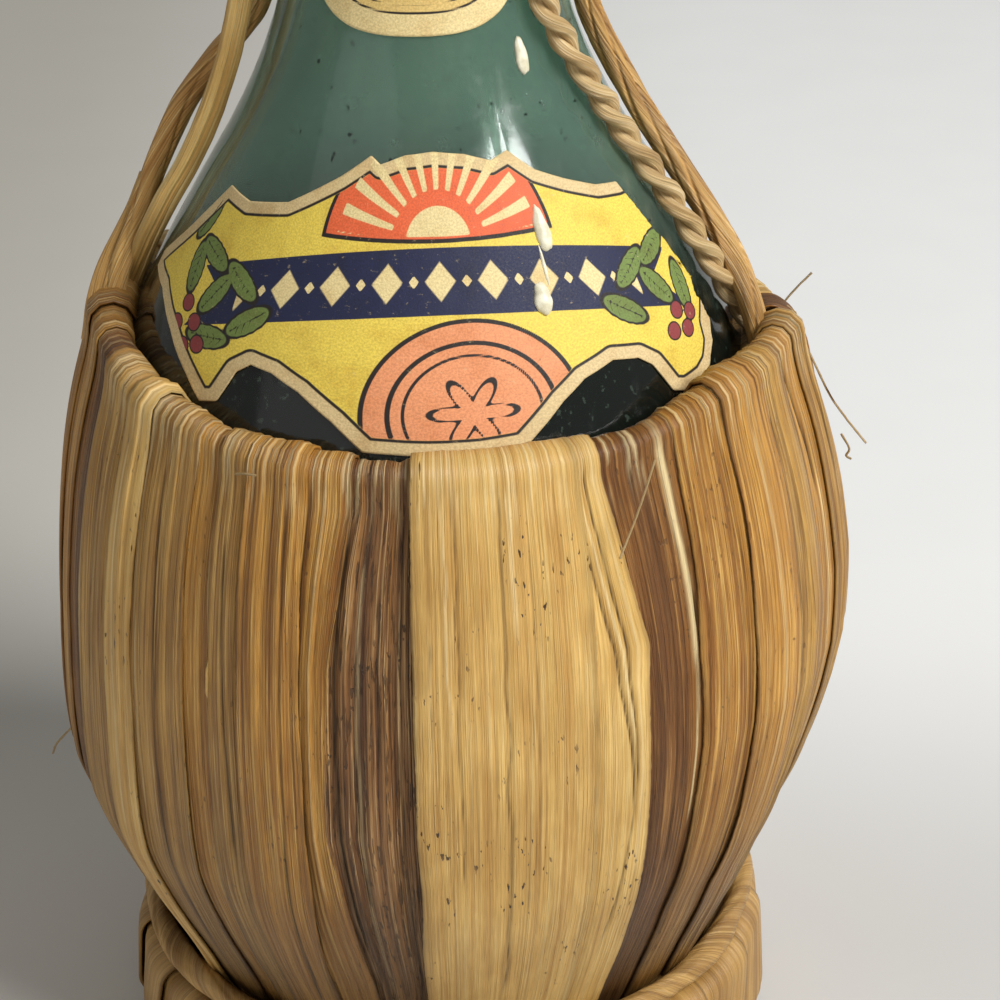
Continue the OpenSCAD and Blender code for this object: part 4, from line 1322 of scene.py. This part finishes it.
def makeFrontLabel():
    look = frontLabel
    piece = addGrid("frontLabel", look["columns"], look["rows"])
    edge = printEdge()
    first, last = look["top"][0][0], look["top"][-1][0]
    (sunU, sunV, sunR), (roundU, roundV, roundR) = look["sun"], look["roundel"]
    beltV, beltHalf, beltReach, arch = look["belt"]
    ray, lozenge, petal = look["ray"], look["lozenge"], look["petals"]

    def spotAt(x, y):
        angle = first + (last - first) * (x + 1) / 2
        low, high = along(look["bottom"], angle), along(look["top"], angle)
        height = low + (high - low) * (y + 1) / 2
        worn = smooth(*look["wornFrom"], angle)
        return angle + worn * (1.3 * wander(height * 0.5, 3, 0) + 0.5 * wander(height * 1.7, 8, 0)), height

    def place(x, y):
        angle, height = spotAt(x, y)
        rough = 0.06 * wander(angle * 0.25, height * 0.4, 0) + 0.05 * smooth(0.9, 1, abs(y))
        return roundPoint(angle, glassRadius(height) + paper["gap"] + paper["thick"] + rough, height)

    def flat(x, y):
        spot = flatSpot(*spotAt(x, y))
        return spot.x, spot.y

    # Each shape below is the way in mm from its edge at a spot of the flat paper, below 0 inside it
    def lined(u, v):
        return look["border"] - edge.find(Vector((u, v, 0)))[2]

    def field(u, v):
        return lined(u, v) + look["line"]

    def sun(u, v):
        return max(math.hypot(u - sunU, v - sunV) - sunR, sunV - v)

    def rays(u, v):
        away = math.hypot(u - sunU, v - sunV)
        half = ray["apart"] / 2
        turn = (math.degrees(math.atan2(v - sunV, u - sunU)) + half) % ray["apart"] - half
        bar = (abs(math.radians(turn)) - ray["half"]) * away
        spoke = max(bar, ray["from"] - away, away - ray["to"])
        return max(min(spoke, away - ray["core"]), sunV + ray["above"] - v)

    def belt(u, v):
        off = abs(v - beltV + arch * u * u)
        return max(off - beltHalf, abs(u) - beltReach + 1.1 * (beltHalf - off) - 2)

    def offBelt(u, v):
        return -belt(u, v)

    def lozenges(u, v):
        off = abs(v - beltV + arch * u * u)
        half = lozenge["apart"] / 2
        step = abs((u + half) % lozenge["apart"] - half)
        large = step / lozenge["large"][0] + off / lozenge["large"][1] - 1
        small = abs(step - half) / lozenge["small"][0] + off / lozenge["small"][1] - 1
        return max(min(large, small), abs(u) - beltReach + lozenge["clear"])

    def roundel(u, v):
        return math.hypot(u - roundU, v - roundV) - roundR

    def ring(u, v):
        away, turn = math.hypot(u - roundU, v - roundV), math.atan2(v - roundV, u - roundU)
        petals = abs(away - petal["at"] - petal["swing"] * math.cos(petal["count"] * turn)) / petal["steep"]
        return min([abs(away - at) - half for at, half in look["rings"]] + [petals - petal["line"]])

    def leavesNear(u, v):  # how far along and across each leaf that lies near this spot
        for a, b, turn in look["leaves"]:
            if abs(u - a) < 6 and abs(v - b) < 6:
                c, s = math.cos(math.radians(turn)), math.sin(math.radians(turn))
                yield (u - a) * c + (v - b) * s, (v - b) * c - (u - a) * s

    def leaves(u, v):
        longest, widest = look["leaf"]
        near = 9.0
        for far, wide in leavesNear(u, v):
            wave = 0.12 * 0.35 * math.cos(4.5 * far + 3 * abs(wide))
            near = min(near, (math.hypot(far / longest, wide / (widest + wave)) - 1) * 1.5)
        return near

    def veins(u, v):
        longest, widest = look["leaf"]
        near = 9.0
        for far, wide in leavesNear(u, v):
            inside = (math.hypot(far / longest, wide / widest) - 0.86) * 1.5
            side = abs((far + 0.9 * abs(wide)) % 1.1 - 0.55) - 0.07
            near = min(near, max(inside, min(abs(wide) - 0.08, side)))
        return near

    def berries(u, v):
        return min([math.hypot(u - a, v - b) - look["berry"] for a, b in look["berries"]])

    def grown(shape, more):
        return lambda u, v: shape(u, v) - more

    def outlined(shape):
        return lambda u, v: abs(shape(u, v)) - look["outline"] / 2

    made = printLabel(piece, place, flat, "paper", [
        ("lined", "line", 0.1, [lined]), ("field", "yellow", 0.08, [field]),
        ("sun", "red", 0.06, [sun, field]), ("rays", "cream", 0.08, [rays]),
        ("sunLine", "line", 0.06, [outlined(sun), field]),
        ("roundel", "salmon", 0.06, [roundel, field, offBelt]),
        ("roundelLine", "line", 0.06, [outlined(roundel), field, offBelt]),
        ("ring", "line", 0.06, [ring, field]),
        ("belt", "navy", 0.06, [belt]), ("lozenges", "cream", 0.08, [lozenges]),
        ("leafLine", "line", 0.06, [grown(leaves, 0.28), field]), ("leaves", "leaf", 0.06, [leaves, field]),
        ("leafMark", "line", 0.05, [veins]),
        ("berryLine", "line", 0.06, [grown(berries, 0.22), lined]),
        ("berries", "berry", 0.06, [berries, lined])])
    return finishPiece(piece, made, ["front_label"])


makeFrontLabel()

neckLabel = {"columns": 120, "rows": 90, "height": 190, "half": 15, "centre": -2, "reach": 47, "scale": 0.33,
             "sweep": 86, "power": 3, "line": 3.0, "innerLine": 4.1}


def makeNeckLabel():
    look = neckLabel
    power = look["power"]
    piece = addGrid("neckLabel", look["columns"], look["rows"])

    def spotAt(x, y):
        share = math.sin(x * math.radians(look["sweep"]))
        tall = look["half"] * (1 - abs(share) ** power) ** (1 / power)
        return look["centre"] + share * look["reach"], look["height"] + y * tall

    def place(x, y):
        angle, height = spotAt(x, y)
        away = glassRadius(height) + paper["gap"] + paper["thick"]
        return roundPoint(angle, away + 0.05 * wander(angle / 5, height / 4, 2), height)

    def flat(x, y):
        angle, height = spotAt(x, y)
        return (angle - look["centre"]) * look["scale"], height - look["height"]

    def inside(u, v):
        wide, tall = abs(u) / (look["reach"] * look["scale"]), abs(v) / look["half"]
        return (1 - (wide ** power + tall ** power) ** (1 / power)) * look["half"]

    made = printLabel(piece, place, flat, "cream", [
        ("panel", "gold", 0.1, [lambda u, v: look["line"] - inside(u, v)]),
        ("key", "line", 0.06, [lambda u, v: abs(inside(u, v) - look["line"]) - 0.16]),
        ("inner", "line", 0.06, [lambda u, v: abs(inside(u, v) - look["innerLine"]) - 0.1])])
    return finishPiece(piece, made, ["neck_label"])


makeNeckLabel()
print("labels laid on")


# Loose ends: leaves folded over the rim at the right stay, pale wax drips on the glass and stray fibres
rimLeaves = [  # name, bent path as (x, z), from y, to y, look, sideways run of the fold, thickness
    ("rimLeafOuter", [(58.6, 110), (57.6, 116), (56.4, 120.2), (54.6, 123.6), (52.2, 125.2), (50, 125.2),
                      (48.6, 123.4), (48.2, 120)], 0.5, 5.5, "straw_brown", 0, 0.35),
    ("rimLeafMiddle", [(57.2, 112), (56.4, 117), (55.2, 120.8), (53.6, 122.9), (51.8, 123.4), (50.4, 122.2),
                       (49.8, 119.6)], 0.2, 5, "straw_tan", 0, 0.35),
    ("rimLeafInner", [(55.6, 114), (55, 118), (54.2, 120.2), (53, 121.4), (51.9, 120.8), (51.4, 118.6)],
     0, 4.5, "straw_pale", 0, 0.35),
    ("stayLeaf", [(58.2, 108), (57, 114), (55, 118.4), (52.4, 121.6), (49.6, 123.6), (47.4, 123.9),
                  (45.9, 122.6), (45.3, 120), (45.2, 116)], -13, 0.5, "straw_tan", 1.5, 0.5),
]


foldedLeaf = {"columns": 22, "curl": 0.012, "curlBack": 0.4, "rough": 0.25}


def makeLeaf(name, path, start, end, look, fold, thick):
    curve = curveThrough(path, 8)
    piece = addGrid(name, foldedLeaf["columns"], len(curve) - 1)

    def place(x, y):
        i = round((y + 1) / 2 * (len(curve) - 1))
        spot = curve[i]
        depth = start + (end - start) * (x + 1) / 2
        drop = foldedLeaf["curl"] * depth * depth * (1 if depth > 0 else foldedLeaf["curlBack"])
        rough = foldedLeaf["rough"] * wander(depth * 0.4, i * 0.12, len(name))
        behind = depth + fold * i / len(curve)
        return Vector((spot.x - drop + rough, behind, spot.y - 0.2 * drop + 0.6 * rough))

    shapeGrid(piece, place, lambda x, y: ((end - start) * (x + 1) / 2 + 41 * len(name), y * len(curve) / 3))
    applyModifier(piece, "SOLIDIFY", thickness=thick * mm, offset=0)
    return finishPiece(piece, straw[look], ())


for leafRow in rimLeaves:
    makeLeaf(*leafRow)

wax = {  # drops as (angle, height, half width, half height, thickness)
    "drops": [(38.7, 171, 1.0, 2.5, 0.9), (29.2, 150.2, 1.15, 2.9, 1.0), (27.4, 146, 0.3, 2.6, 0.4),
              (25.3, 142.3, 1.3, 2.1, 1.1)],
    "labelTop": 158,
    "sunk": 0.12,
    "skin": 0.1,
    "dull": seen(206, 198, 168),
    "pale": seen(238, 232, 208),
    "roughness": 0.42,
}


def makeWax():
    made, tree, shader = newMaterial("wax")
    cloud = speckle(tree, addNode(tree, "ShaderNodeTexCoord").outputs["Object"], (700, 700, 700), 3)
    clouded = tint(tree, fade(tree, cloud, 0.3, 0.7), wax["dull"], wax["pale"])
    tree.links.new(clouded, shader.inputs["Base Color"])
    shader.inputs["Roughness"].default_value = wax["roughness"]
    addBump(tree, shader, cloud, 0.3, 0.2)
    pieces = []
    for angle, height, wide, tall, thick in wax["drops"]:
        piece = addGrid("waxDrips" if not pieces else "waxDrop", 20, 24)
        under = paper["thick"] + paper["gap"] if height < wax["labelTop"] else 0

        def place(x, y):
            u, v = x * math.sqrt(1 - y * y / 2), y * math.sqrt(1 - x * x / 2)
            out = max(1 - u * u - v * v, 0) ** 0.5
            ragged = 1 + 0.14 * wander(u * 2, v * 2, height)
            up = height + tall * v * ragged
            away = glassRadius(up) + under + thick * out - wax["sunk"]
            narrow = wide * (1 - 0.25 * v)
            return roundPoint(angle + math.degrees(narrow * u * ragged / away), away, up)

        shapeGrid(piece, place, lambda x, y: (x, y))
        applyModifier(piece, "SOLIDIFY", thickness=wax["skin"] * mm, offset=-1)
        pieces.append(piece)
    return finishPiece(joinPieces(pieces), made, ())


makeWax()

fibres = {
    "thick": 0.17,
    "sides": 6,
    "facing": (0.3, -0.8, 0.5),
    "lines": [[(55.4, 1, 121.2), (58.1, 0, 115.8), (60.6, 0, 110.6), (63.2, -1, 107), (66.4, -1, 102.8)],
              [(53.6, 8, 122.2), (54.5, 8, 123.6), (56.4, 8, 125.9), (58, 8, 127.6)],
              [(61.4, -8, 108), (62.6, -9, 106), (62.2, -9, 104.8), (63, -9, 104.2)],
              [(-25.6, -49.4, 124.2), (-24.2, -50.9, 125), (-22.6, -51.8, 125.2)],
              [(30.6, -47.6, 124.4), (28.4, -51.8, 119.6), (25.6, -55, 113.4)],
              [(-59.2, -8, 58), (-62.6, -6, 53.4), (-64, -4, 50)]],
}


def makeFibres():
    pieces = []
    for route in fibres["lines"]:
        line, _ = evenly(curveThrough(route, 10), 40)
        pieces.append(sweepTube(
            "looseFibres" if not pieces else "fibre", line, [Vector(fibres["facing"])] * len(line),
            lambda a, reach: fibres["thick"] * (1 + 0.3 * wander(reach * 0.8, a, 3)), fibres["sides"]))
    return finishPiece(joinPieces(pieces), straw["stay_pale"], ())


makeFibres()
print("loose ends added")
